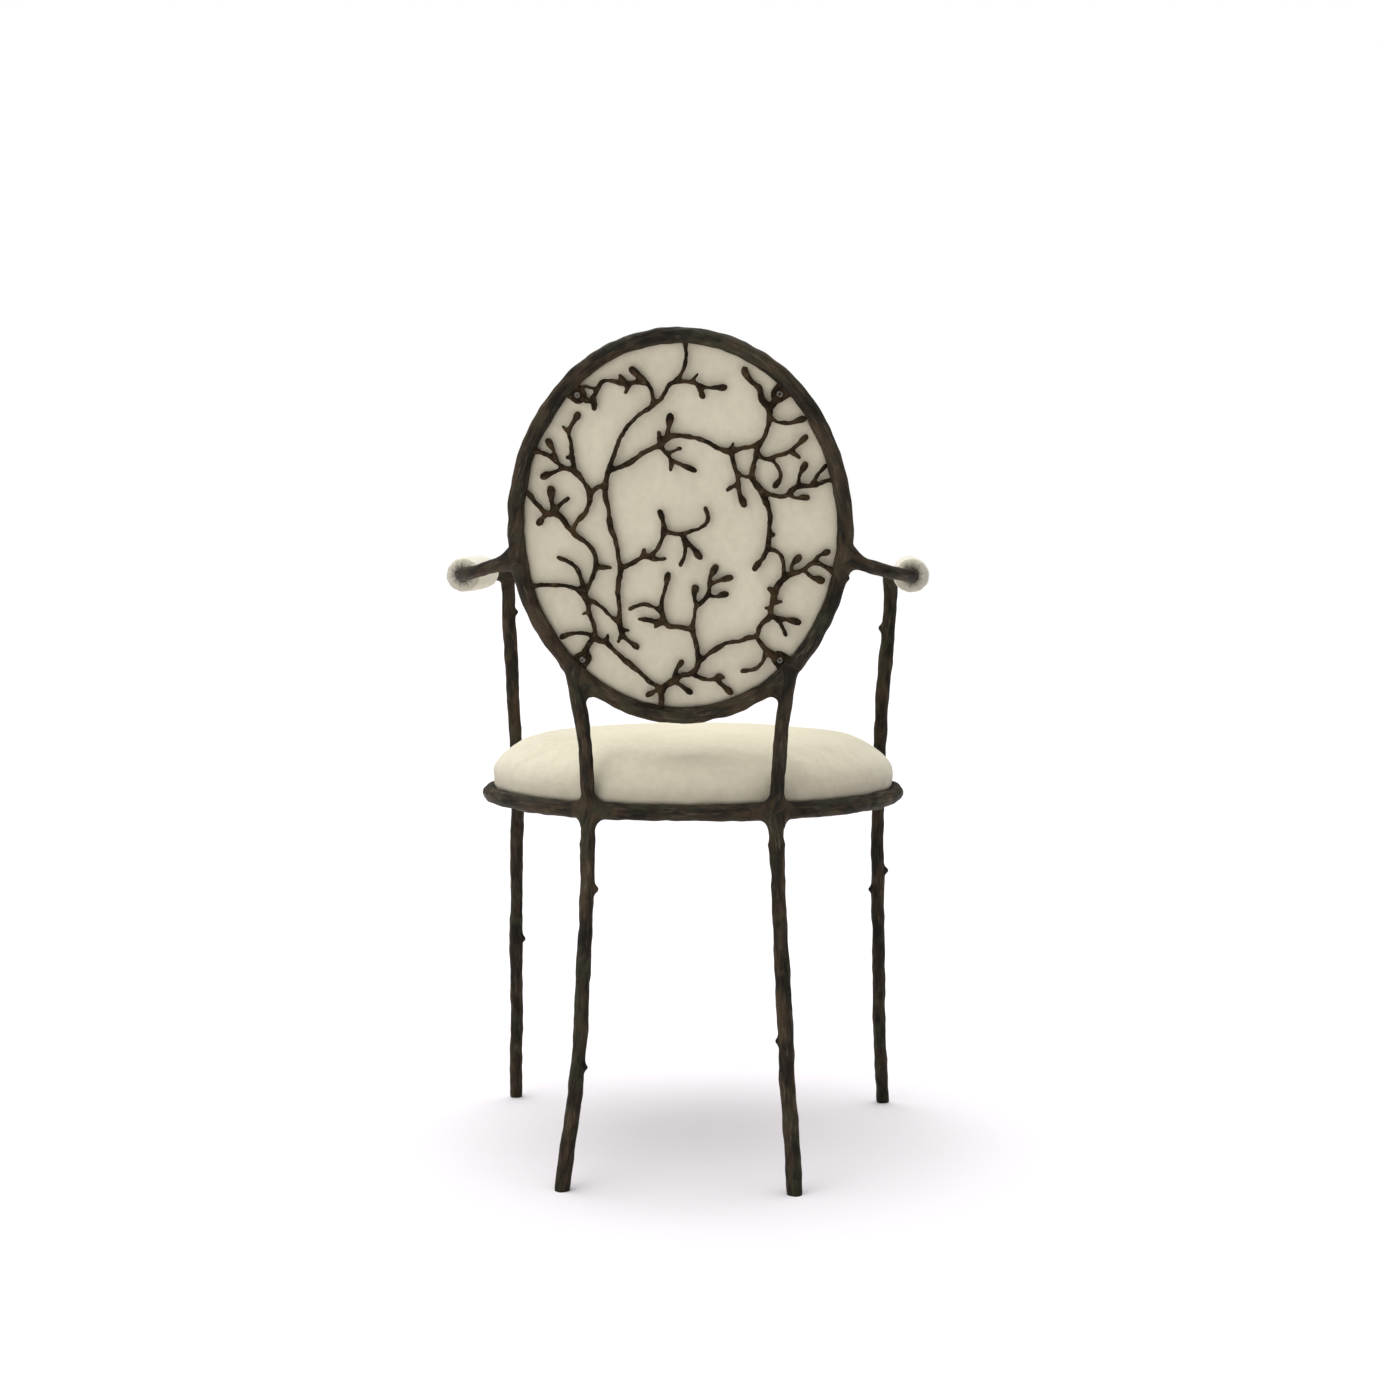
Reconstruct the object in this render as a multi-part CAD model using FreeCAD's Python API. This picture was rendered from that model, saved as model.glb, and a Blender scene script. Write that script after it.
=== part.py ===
import FreeCAD, Part
import math
import os

# A dining armchair on a frame of metal rods that are cast as crooked twigs. A near-round seat ring
# stands on four legs, two uprights carry an oval back ring, and an arm rail runs on each side from the
# oval to a post. The oval is filled by branches that hold an upholstered pad.
# Millimetres, +Z up, the sitter faces -Y, left is the sitter's left (+X). The work is laid out round the
# seat ring's centre and moved at the end, so that the origin is under the middle of the whole chair.

Vector = FreeCAD.Vector

# Seat ring, measured on the rod's centreline
SEAT_RING_WIDTH = 492.0
SEAT_RING_DEPTH = 444.0
SEAT_RING_HEIGHT = 417.0
SEAT_ROD = 17.0

# Back ring, on the rod's centreline in its leaning plane; its centre stands over and behind the seat ring
BACK_RING_WIDTH = 364.0
BACK_RING_HEIGHT = 424.0
BACK_RING_RISE = 318.0
BACK_RING_BEHIND = 24.0
BACK_RECLINE = 9.0
BACK_ROD = 16.5

# Legs: degrees round the seat ring from its widest line, then how far each foot stands out and away
REAR_LEG_ANGLE = 65.0
REAR_FOOT_SPLAY = 26.0
REAR_FOOT_KICK = 77.0
REAR_LEG_ROD = 15.5
FRONT_LEG_ANGLE = 24.0
FRONT_FOOT_SPLAY = 13.0
FRONT_FOOT_KICK = 48.0
FRONT_LEG_ROD = 15.0
FRAME_SET_OUT = 3.0
FOOT_TRIM = 8.0

# Uprights and arm posts
UPRIGHT_TOP_ANGLE = 47.5
UPRIGHT_ROD = 15.0
POST_SPREAD = 16.0
POST_LEAN = 20.0
POST_ROD = 15.0
POST_ABOVE_ARM = 2.0

# Arm rails: height over the seat ring, degrees of the root below the oval's widest line, sideways bows
ARM_RISE = 265.0
ARM_ROOT_ANGLE = 8.5
ARM_BOW = 22.0
ARM_TOE_IN = 4.0
ARM_END_BOW = 6.0
ARM_END_DROP = 6.0
ARM_ROD = 13.5

# Bolsters on the rails, set by their distances from the post and from the oval's plane
BOLSTER_POST_GAP = 62.0
BOLSTER_BACK_GAP = 104.0
BOLSTER_DIAMETER = 41.0
BOLSTER_END_DIAMETER = 30.0
BOLSTER_END_ROUNDING = 14.0
BOLSTER_END_RECESS = 5.0
BOLSTER_SWELL = 0.8

# Weld flare where a rod meets a ring: along the ring, along the rod, and as a share of the ring's rod
FLARE_LENGTH = 56.0
ARM_FLARE_LENGTH = 40.0
FLARE_REACH = 20.0
FLARE_SHARE = 0.65

# Cut twig stubs on the rods
NUB_LENGTH = 5.0
NUB_ROOT = 8.0
NUB_TIP = 4.5

# Seat cushion: rises are over the board's top
SEAT_GAP = 2.0
SEAT_BOARD_THICKNESS = 12.0
SEAT_BOARD_DROP = 3.0
SEAT_CROWN_RISE = 72.0
SEAT_SHOULDER_RISE = 49.0
SEAT_SHOULDER_INSET = 34.0
SEAT_BULGE_RISE = 14.0
CUSHION_CLEARANCE = 1.0
COVER_THICKNESS = 1.5
DUST_COVER_CLEARANCE = 10.0
DUST_COVER_THICKNESS = 1.0

# Seat tabs and their screws
TAB_REAR_ANGLE = 35.0
TAB_FRONT_ANGLE = 55.0
TAB_LENGTH = 34.0
TAB_WIDTH = 22.0
TAB_THICKNESS = 4.0
SEAT_SCREW_DIAMETER = 5.0
SEAT_SCREW_HEAD = 9.5
SEAT_SCREW_HEAD_TOP = 6.6
SEAT_SCREW_HEAD_HEIGHT = 3.0
SCREW_CLEARANCE = 0.5
SCREW_COVER = 3.0

# Back pad, measured forwards from the back ring's plane; rises are over the board's front
BACK_GAP = 1.5
BACK_PAD_REAR = 5.0
BACK_PANEL_THICKNESS = 3.0
BACK_BOARD_THICKNESS = 10.0
BACK_CROWN_RISE = 34.0
BACK_SHOULDER_RISE = 20.0
BACK_SHOULDER_INSET = 8.0
BACK_BULGE = 6.0
BACK_BULGE_RISE = 7.0

# Branches and the lugs that the back screws go through; the lug angle is up or down from the widest line
TWIG = 5.4
BRANCH_OUT = 1.4
LUG_ANGLE = 48.4
LUG_RADIUS = 9.5
LUG_WEB_WIDTH = 17.0
LUG_TOP = 1.0
BACK_SCREW_EDGE = 4.0
BACK_SCREW_DIAMETER = 4.0
BACK_SCREW_HEAD = 7.0
BACK_SCREW_HEAD_TOP = 5.3
BACK_SCREW_HEAD_HEIGHT = 2.5
BACK_SCREW_SOCKET = 3.0
BACK_SCREW_SOCKET_DEPTH = 1.5

# Corners round each kind of outline, and steps along the rings and up the cushions
SIDE_COUNT = {"rod": 10, "twig": 6, "bolster": 16, "oval": 36, "screw": 8, "lug": 14}
STEP_COUNT = {"ring": 48, "side": 5, "crown": 4}
SKIN_TOLERANCE = 1e-4
COPE_TOLERANCE = 0.01

UP = Vector(0, 0, 1)
RECLINE = math.radians(BACK_RECLINE)
BACK_UP = Vector(0, math.sin(RECLINE), math.cos(RECLINE))
BACK_REARWARD = Vector(0, math.cos(RECLINE), -math.sin(RECLINE))
BACK_CENTRE = Vector(0, SEAT_RING_DEPTH / 2 + BACK_RING_BEHIND, SEAT_RING_HEIGHT + BACK_RING_RISE)
OPENING_HALF_WIDTH = (BACK_RING_WIDTH - BACK_ROD) / 2
OPENING_HALF_HEIGHT = (BACK_RING_HEIGHT - BACK_ROD) / 2
ARM_HEIGHT = SEAT_RING_HEIGHT + ARM_RISE


def unit(vector):
    """Vector of length one in the same direction."""
    return vector * (1.0 / vector.Length)


def outline(point, along, wide, wide_radius, deep_radius, sides):
    """Corners round a point, square to a direction, with the area of the oval that has these radii."""
    along = unit(along)
    wide = unit(wide - along * wide.dot(along))
    deep = along.cross(wide)
    turn = 2 * math.pi / sides
    even = math.sqrt(turn / math.sin(turn))
    return [point + wide * (wide_radius * even * math.cos(i * turn))
            + deep * (deep_radius * even * math.sin(i * turn)) for i in range(sides)]


def skinned(outlines, ends_meet=False):
    """Solid with flat faces from outline to outline; an outline of one corner is a tip."""
    corners = []
    rows = []
    for row in outlines:
        rows.append((len(corners), len(row)))
        corners += row
    facets = []
    if ends_meet:
        rows.append(rows[0])
    else:
        facets += [(0, i + 1, i) for i in range(1, rows[0][1] - 1)]
        start, count = rows[-1]
        facets += [(start, start + i, start + i + 1) for i in range(1, count - 1)]
    for (start, count), (above, count_above) in zip(rows, rows[1:]):
        for i in range(max(count, count_above)):
            low = (start + i % count, start + (i + 1) % count)
            high = (above + i % count_above, above + (i + 1) % count_above)
            if count > 1:
                facets.append((low[0], low[1], high[1]))
            if count_above > 1:
                facets.append((low[0], high[1], high[0]))
    skin = Part.Shape()
    skin.makeShapeFromMesh((corners, facets), SKIN_TOLERANCE)
    return Part.makeSolid(skin).removeSplitter()


def turned(start, axis, wide, profile, sides):
    """Round piece on an axis from its reach and its place along the axis; no reach makes a tip."""
    outlines = []
    for reach, along in profile:
        point = start + axis * along
        outlines.append(outline(point, axis, wide, reach, reach, sides) if reach else [point])
    return skinned(outlines)


def directions(points):
    """Direction of the route at each of its points, from the neighbours on both sides."""
    last = len(points) - 1
    return [unit(points[min(i + 1, last)] - points[max(i - 1, 0)]) for i in range(last + 1)]


def smoothed(values):
    """The same places or radii in a row, with one more between each two, on a smooth curve through them."""
    last = len(values) - 1
    row = []
    for i in range(last):
        outer = values[max(i - 1, 0)] + values[min(i + 2, last)]
        row += [values[i], ((values[i] + values[i + 1]) * 9 - outer) * (1 / 16)]
    return row + [values[last]]


def flared_rod(start, away, wide, flare_length, ring_rod, points, diameters):
    """Bent rod that starts on a ring with a weld flare drawn out along it, then runs through the points."""
    radii = smoothed([diameter / 2 for diameter in diameters])
    route = smoothed(points)
    ring_radius = ring_rod / 2 * FLARE_SHARE
    stations = []
    for share in (0, 0.4, 0.7):
        spread = (flare_length / 2 - radii[0]) * (1 - share) ** 2
        stations.append((start + (route[0] - start) * share, radii[0] + spread,
                         ring_radius + (radii[0] - ring_radius) * share))
    stations += [(point, radius, radius) for point, radius in zip(route, radii)]
    along = [away] + directions([station[0] for station in stations])[1:]
    return skinned([outline(point, way, wide, wide_radius, deep_radius, SIDE_COUNT["rod"])
                    for (point, wide_radius, deep_radius), way in zip(stations, along)])


def crooked(start, end, diameter, bends):
    """Points from start to end with hand-placed bends: share of the way, then sideways and backwards."""
    inner = [start + (end - start) * share + Vector(side, back, 0) * diameter for share, side, back in bends]
    return [start] + inner + [end]


def seat_ring_place(side, angle, rear):
    """Point of the seat ring's centreline and the way outward from there."""
    turn = math.radians(angle) * (1 if rear else -1)
    across = Vector(side * math.cos(turn), math.sin(turn), 0)
    outward = unit(Vector(across.x / SEAT_RING_WIDTH, across.y / SEAT_RING_DEPTH, 0))
    return Vector(across.x * SEAT_RING_WIDTH / 2, across.y * SEAT_RING_DEPTH / 2, SEAT_RING_HEIGHT), outward


def back_point(right, up, out):
    """Point in the leaning plane of the back from lengths to the right, seen from behind, and up."""
    return BACK_CENTRE + Vector(-right, 0, 0) + BACK_UP * up + BACK_REARWARD * out


def back_ring_place(side, angle):
    """Point of the back ring's centreline at an angle below its widest line."""
    turn = math.radians(angle)
    return back_point(-side * BACK_RING_WIDTH / 2 * math.cos(turn), -BACK_RING_HEIGHT / 2 * math.sin(turn), 0)


def oval_ring(width, height, diameter):
    """Rod bent into a closed oval in the XY plane."""
    outlines = []
    for i in range(STEP_COUNT["ring"]):
        turn = 2 * math.pi * i / STEP_COUNT["ring"]
        point = Vector(width / 2 * math.cos(turn), height / 2 * math.sin(turn), 0)
        along = Vector(-width * math.sin(turn), height * math.cos(turn), 0)
        outlines.append(outline(point, along, UP, diameter / 2, diameter / 2, SIDE_COUNT["rod"]))
    return skinned(outlines, ends_meet=True)


def oval(half_width, half_depth, height):
    """Corners of a level oval."""
    turns = [2 * math.pi * i / SIDE_COUNT["oval"] for i in range(SIDE_COUNT["oval"])]
    return [Vector(half_width * math.cos(turn), half_depth * math.sin(turn), height) for turn in turns]


def oval_plate(half_width, half_depth, bottom, top):
    """Flat oval plate between two heights."""
    return skinned([oval(half_width, half_depth, bottom), oval(half_width, half_depth, top)])


def crowned_pad(half_width, half_depth, bottom, base, bulge, bulge_rise, shoulder_inset, shoulder, crown):
    """Stuffed pad on an oval plan: a straight foot, a swelling side, then a shallow crown."""
    foot = Vector(half_width, 0, base)
    widest = Vector(half_width + bulge, 0, base + bulge_rise)
    edge = Vector(half_width - shoulder_inset, 0, shoulder)
    top = Vector(0, 0, crown)
    over_edge = Vector(edge.x / 2, 0, crown - (crown - shoulder) / 4)
    side = Part.Arc(foot, widest, edge).toShape().discretize(STEP_COUNT["side"])
    rise = Part.Arc(edge, over_edge, top).toShape().discretize(STEP_COUNT["crown"])
    levels = [Vector(half_width, 0, bottom)] + side + rise[1:-1]
    depth_share = half_depth / half_width
    return skinned([oval(level.x, level.x * depth_share, level.z) for level in levels] + [[top]])


# Seat ring and back ring

seat_ring = oval_ring(SEAT_RING_WIDTH, SEAT_RING_DEPTH, SEAT_ROD)
seat_ring.translate(Vector(0, 0, SEAT_RING_HEIGHT))
BACK_PLACEMENT = FreeCAD.Placement(
    BACK_CENTRE, FreeCAD.Rotation(Vector(1, 0, 0), BACK_UP, -BACK_REARWARD, "ZXY"))
back_ring = oval_ring(BACK_RING_WIDTH, BACK_RING_HEIGHT, BACK_ROD)
back_ring.Placement = BACK_PLACEMENT

pieces = {"seat_ring": seat_ring, "back_ring": back_ring}


# Rods on the seat ring: each with its own bends, swellings and cut stubs, coped to the ring

def nub(points, share, towards):
    """Cut stub of a side twig, standing out from a rod at a share of its length."""
    place = share * (len(points) - 1)
    i = min(int(place), len(points) - 2)
    foot = points[i] + (points[i + 1] - points[i]) * (place - i)
    towards = unit(towards)
    tip = foot + towards * (NUB_ROOT + NUB_LENGTH)
    return skinned([outline(foot, towards, UP, NUB_ROOT / 2, NUB_ROOT / 2, SIDE_COUNT["twig"]),
                    outline(tip, towards, UP, NUB_TIP / 2, NUB_TIP / 2, SIDE_COUNT["twig"])])


def twig_rod(side, angle, rear, end, diameter, bends, swell, stubs):
    """Crooked rod from the seat ring to an end point; bends are in diameters, swell is per section."""
    centre, outward = seat_ring_place(side, angle, rear)
    start = centre + outward * FRAME_SET_OUT
    run = end - start
    past_flare = start + unit(run) * FLARE_REACH
    points = crooked(past_flare, end, diameter, [(s, side * x, y) for s, x, y in bends])
    away = UP * (1 if run.z > 0 else -1)
    shape = flared_rod(start, away, UP.cross(outward), FLARE_LENGTH, SEAT_ROD, points,
                       [diameter * factor for factor in swell])
    for share, towards in stubs:
        shape = shape.fuse(nub(points, share, Vector(side * towards[0], towards[1], towards[2])))
    return shape.cut(seat_ring)


# Legs: from the seat ring down to the floor, where they are trimmed level

def leg(side, angle, rear, splay, kick, diameter, bends, swell, stubs):
    """Twig leg that runs a little past its foot and is cut off at the floor."""
    centre, _ = seat_ring_place(side, angle, rear)
    foot = Vector(centre.x + side * splay, centre.y + kick * (1 if rear else -1), 0)
    below_floor = foot + unit(foot - centre) * FOOT_TRIM
    shape = twig_rod(side, angle, rear, below_floor, diameter, bends, swell, stubs)
    trim = 4 * diameter
    return shape.cut(Part.makeBox(trim, trim, trim, foot - Vector(trim / 2, trim / 2, trim)))


pieces["rear_leg_left"] = leg(
    1, REAR_LEG_ANGLE, True, REAR_FOOT_SPLAY, REAR_FOOT_KICK, REAR_LEG_ROD,
    [(0.14, -0.23, 0.06), (0.30, -0.35, -0.06), (0.47, -0.48, 0.06), (0.64, -0.52, 0), (0.80, -0.32, 0.06)],
    (1.02, 0.96, 0.98, 0.96, 1.0, 0.99, 1.04),
    [(0.20, (-1, 0.3, 0.2)), (0.68, (-1, 0.2, 0.1)), (0.05, (1, 0.4, 0))])
pieces["rear_leg_right"] = leg(
    -1, REAR_LEG_ANGLE, True, REAR_FOOT_SPLAY, REAR_FOOT_KICK, REAR_LEG_ROD,
    [(0.12, -0.06, -0.06), (0.30, -0.10, 0.06), (0.48, -0.06, 0), (0.65, -0.16, 0.06), (0.82, -0.06, 0)],
    (1.04, 1.0, 1.0, 1.06, 1.04, 1.06, 1.08),
    [(0.59, (-1, 0.2, 0)), (0.06, (-1, 0.4, 0)), (0.055, (1, 0.3, 0))])
pieces["front_leg_left"] = leg(
    1, FRONT_LEG_ANGLE, False, FRONT_FOOT_SPLAY, FRONT_FOOT_KICK, FRONT_LEG_ROD,
    [(0.15, 0.10, 0.07), (0.32, 0.07, -0.07), (0.50, 0.13, 0), (0.68, 0, 0.07), (0.85, 0.07, 0)],
    (0.95, 1.02, 0.98, 1.03, 0.97, 1.0, 1.02),
    [(0.46, (-1, 0.3, 0))])
pieces["front_leg_right"] = leg(
    -1, FRONT_LEG_ANGLE, False, FRONT_FOOT_SPLAY, FRONT_FOOT_KICK, FRONT_LEG_ROD,
    [(0.15, -0.17, 0), (0.32, -0.20, 0.07), (0.50, -0.20, -0.07), (0.68, -0.27, 0), (0.85, -0.17, 0.07)],
    (0.92, 1.0, 0.98, 0.97, 1.0, 0.96, 1.0),
    [(0.30, (-1, 0.3, 0)), (0.24, (1, 0.3, 0))])


# Uprights: from the seat ring over the rear legs to the lower sides of the back ring, coped to both

def upright(side, bends, swell):
    """Twig upright between the two rings."""
    top = back_ring_place(side, UPRIGHT_TOP_ANGLE)
    return twig_rod(side, REAR_LEG_ANGLE, True, top, UPRIGHT_ROD, bends, swell, []).cut(back_ring)


pieces["back_upright_left"] = upright(1, [(0.35, -0.27, 0), (0.72, -0.20, 0.07)], (1.0, 0.97, 1.0, 1.02))
pieces["back_upright_right"] = upright(-1, [(0.35, -0.13, 0.07), (0.72, -0.20, 0)], (1.0, 0.98, 0.96, 1.02))


# Posts: from the seat ring over the front legs to the front end of the arm rails, with a cut top

def post_top(side, height):
    """Point of a post's axis at its top end."""
    centre, _ = seat_ring_place(side, FRONT_LEG_ANGLE, False)
    return Vector(centre.x + side * POST_SPREAD, centre.y - POST_LEAN, height)


def post(side, bends, swell, stubs):
    """Twig post that ends just over the arm rail."""
    top = post_top(side, ARM_HEIGHT + POST_ABOVE_ARM)
    return twig_rod(side, FRONT_LEG_ANGLE, False, top, POST_ROD, bends, swell, stubs)


pieces["arm_post_left"] = post(
    1, [(0.30, 0.07, 0), (0.55, 0.10, 0.07), (0.80, 0.14, 0)], (1.0, 0.98, 1.0, 1.02, 0.98),
    [(0.735, (-1, 0.3, 0))])
pieces["arm_post_right"] = post(
    -1, [(0.30, -0.07, 0.07), (0.55, 0.07, 0), (0.80, 0.20, 0.07)], (1.0, 1.02, 1.04, 1.0, 1.02),
    [(0.65, (-1, 0.3, 0.2))])


# Arm rails: from the oval's sides, round a bend and forwards through the bolsters to the posts. The bend
# is given as shares of the way to the bolster, sideways, forwards and down

ARM_BEND = ((0.32, 0.16, 0.42), (0.70, 0.46, 0.80), (0.93, 0.78, 0.94))
ARM_SWELL = (1.08, 0.99, 1.0, 1.0, 1.0, 1.0, 0.98, 0.95)


def bolster_axis(side):
    """Rear and front end of a bolster's straight axis."""
    bow = post_top(side, ARM_HEIGHT) + Vector(side * ARM_BOW, 0, 0)
    front = bow + Vector(0, BOLSTER_POST_GAP, 0)
    rear = Vector(bow.x - side * ARM_TOE_IN, BACK_CENTRE.y - BOLSTER_BACK_GAP, ARM_HEIGHT)
    return rear, front


def arm_rail(side, post_shape):
    """Bent rod from the oval to a post, flared up and down the oval and coped to both."""
    root = back_ring_place(side, ARM_ROOT_ANGLE)
    rear, front = bolster_axis(side)
    end = post_top(side, ARM_HEIGHT - ARM_END_DROP)
    span = rear - root
    bend = [root + Vector(span.x * x, span.y * y, span.z * z) for x, y, z in ARM_BEND]
    before_post = (front + end) * 0.5 + Vector(side * ARM_END_BOW, 0, 0)
    points = bend + [rear, (rear + front) * 0.5, front, before_post, end]
    along_oval = back_ring_place(side, ARM_ROOT_ANGLE - 90) - BACK_CENTRE
    away = BACK_REARWARD.cross(along_oval) * side
    shape = flared_rod(root, away, along_oval, ARM_FLARE_LENGTH, BACK_ROD, points,
                       [ARM_ROD * factor for factor in ARM_SWELL])
    return shape.cut([back_ring, post_shape], COPE_TOLERANCE)


pieces["arm_rail_left"] = arm_rail(1, pieces["arm_post_left"])
pieces["arm_rail_right"] = arm_rail(-1, pieces["arm_post_right"])


# Bolsters: stuffed sleeves round the rails, drawn in at both ends

def bolster(side):
    """Round cushion along the rail with its ends drawn in round the rod."""
    rear, front = bolster_axis(side)
    axis = unit(front - rear)
    length = (front - rear).Length
    radius = BOLSTER_DIAMETER / 2
    end_radius = BOLSTER_END_DIAMETER / 2
    shoulder = radius - BOLSTER_SWELL
    half_turn = math.sqrt(0.5)
    knee = end_radius + (shoulder - end_radius) * half_turn
    profile = [(0, BOLSTER_END_RECESS), (end_radius, 0), (knee, BOLSTER_END_ROUNDING * (1 - half_turn)),
               (shoulder, BOLSTER_END_ROUNDING)]
    mirrored = [(reach, length - along) for reach, along in reversed(profile)]
    return turned(rear, axis, UP, profile + [(radius, length / 2)] + mirrored, SIDE_COUNT["bolster"])


pieces["arm_pad_left"] = bolster(1).cut(pieces["arm_rail_left"])
pieces["arm_pad_right"] = bolster(-1).cut(pieces["arm_rail_right"])


# Seat: a board on tabs inside the ring, and a stuffed cushion whose cloth comes down round the board

seat_half_width = (SEAT_RING_WIDTH - SEAT_ROD) / 2 - SEAT_GAP
seat_half_depth = (SEAT_RING_DEPTH - SEAT_ROD) / 2 - SEAT_GAP
board_bottom = SEAT_RING_HEIGHT - SEAT_BOARD_DROP
board_top = board_bottom + SEAT_BOARD_THICKNESS
room_to_rods = FRAME_SET_OUT - max(POST_ROD, UPRIGHT_ROD) / 2 - CUSHION_CLEARANCE
seat_bulge = SEAT_ROD / 2 + SEAT_GAP + room_to_rods
TAB_PLACES = [(side, angle, rear) for angle, rear in ((TAB_REAR_ANGLE, True), (TAB_FRONT_ANGLE, False))
              for side in (1, -1)]


def seat_screw_at(place):
    """Pan head under the tab and a shank through it into the board."""
    centre, outward = seat_ring_place(*place)
    spot = centre - outward * (TAB_LENGTH - TAB_WIDTH / 2)
    spot.z = board_bottom - TAB_THICKNESS
    length = TAB_THICKNESS + SEAT_BOARD_THICKNESS - SCREW_COVER
    profile = [(SEAT_SCREW_HEAD_TOP / 2, -SEAT_SCREW_HEAD_HEIGHT), (SEAT_SCREW_HEAD / 2, 0),
               (SEAT_SCREW_DIAMETER / 2, 0), (SEAT_SCREW_DIAMETER / 2, length)]
    return turned(spot, UP, outward, profile, SIDE_COUNT["screw"])


def seat_tab_at(place):
    """Flat lug with a round end, welded to the inside of the ring under the board."""
    root, outward = seat_ring_place(*place)
    root.z = board_bottom - TAB_THICKNESS
    straight = TAB_LENGTH - TAB_WIDTH / 2
    sideways = UP.cross(outward)
    end_turns = [math.pi * i / SIDE_COUNT["lug"] for i in range(SIDE_COUNT["lug"] + 1)]
    rounded = [root - outward * (straight + TAB_WIDTH / 2 * math.sin(turn))
               + sideways * (TAB_WIDTH / 2 * math.cos(turn)) for turn in end_turns]
    corners = [root + sideways * (TAB_WIDTH / 2)] + rounded + [root - sideways * (TAB_WIDTH / 2)]
    tab = skinned([corners, [corner + UP * TAB_THICKNESS for corner in corners]])
    hole_radius = (SEAT_SCREW_DIAMETER + SCREW_CLEARANCE) / 2
    hole = turned(root - outward * straight, UP, outward, [(hole_radius, 0), (hole_radius, TAB_THICKNESS)],
                  SIDE_COUNT["screw"])
    return tab.cut([seat_ring, hole])


seat_screws = [seat_screw_at(place) for place in TAB_PLACES]
pieces["seat_tabs"] = Part.makeCompound([seat_tab_at(place) for place in TAB_PLACES])
pieces["seat_screws"] = Part.makeCompound(seat_screws)
seat_board = oval_plate(seat_half_width - COVER_THICKNESS, seat_half_depth - COVER_THICKNESS,
                        board_bottom, board_top)
seat_cushion = crowned_pad(seat_half_width, seat_half_depth, board_bottom, board_top, seat_bulge,
                           SEAT_BULGE_RISE, SEAT_SHOULDER_INSET, board_top + SEAT_SHOULDER_RISE,
                           board_top + SEAT_CROWN_RISE)
dust_inset = TAB_LENGTH + DUST_COVER_CLEARANCE
pieces["seat_board"] = seat_board.cut(seat_screws)
pieces["seat_cushion"] = seat_cushion.cut(seat_board)
pieces["seat_dust_cover"] = oval_plate(SEAT_RING_WIDTH / 2 - dust_inset, SEAT_RING_DEPTH / 2 - dust_inset,
                                       board_bottom - DUST_COVER_THICKNESS, board_bottom)


# Branches: castings that start on the ring or on another branch and carry the lugs for the back screws

LUGS = {"top_left": (-1, 1), "top_right": (1, 1), "bottom_left": (-1, -1), "bottom_right": (1, -1)}


def lug_frame(name):
    """Screw place of a lug, right and up from the oval's centre, and the way from there to the ring."""
    right, up = LUGS[name]
    turn = math.radians(LUG_ANGLE)
    edge = Vector(right * OPENING_HALF_WIDTH * math.cos(turn), up * OPENING_HALF_HEIGHT * math.sin(turn), 0)
    outward = unit(Vector(edge.x / OPENING_HALF_WIDTH ** 2, edge.y / OPENING_HALF_HEIGHT ** 2, 0))
    return edge - outward * (BACK_GAP + COVER_THICKNESS + BACK_SCREW_EDGE), outward


# Round end of a bud past a twig's last point: distance and radius, as shares of the radius there
BUD_END = ((0.7, 0.84), (1.2, 0.4))


def twig(route, neighbours):
    """Crooked twig through six-sided outlines, with a drop-shaped bud unless it ends in a neighbour."""
    points = []
    for *place, _ in route:
        if place[0] in LUGS:
            spot, _ = lug_frame(place[0])
        else:
            spot = Vector(place[0] * OPENING_HALF_WIDTH / 100, place[1] * OPENING_HALF_HEIGHT / 100, 0)
        points.append(back_point(spot.x, spot.y, BRANCH_OUT))
    radii = [TWIG / 2 * point[-1] / 100 for point in route]
    along = directions(points)
    bud, bud_radius, bud_way = points[-1], radii[-1], along[-1]
    joined = any(shape.isInside(bud, SKIN_TOLERANCE, True) for shape in neighbours)
    for reach, share in () if joined else BUD_END:
        points.append(bud + bud_way * (bud_radius * reach))
        radii.append(bud_radius * share)
        along.append(bud_way)
    return skinned([outline(point, way, BACK_REARWARD, radius, radius, SIDE_COUNT["twig"])
                    for point, way, radius in zip(points, along, radii)])


def lug(name):
    """Flat pad round a back screw with a web to the ring; its front face lies on the back pad."""
    place, outward = lug_frame(name)
    height = BACK_PAD_REAR + LUG_TOP
    sideways = Vector(-outward.x, 0, 0) + BACK_UP * outward.y
    front = back_point(place.x, place.y, -BACK_PAD_REAR)
    boss = turned(front, BACK_REARWARD, sideways, [(LUG_RADIUS, 0), (LUG_RADIUS, height)], SIDE_COUNT["lug"])
    web = Part.makeBox(BACK_RING_WIDTH / 2, LUG_WEB_WIDTH, height, Vector(0, -LUG_WEB_WIDTH / 2, 0))
    web.Placement = FreeCAD.Placement(front, FreeCAD.Rotation(sideways, Vector(), BACK_REARWARD, "ZXY"))
    return boss.fuse(web.common(back_opening)).removeSplitter()


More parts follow.
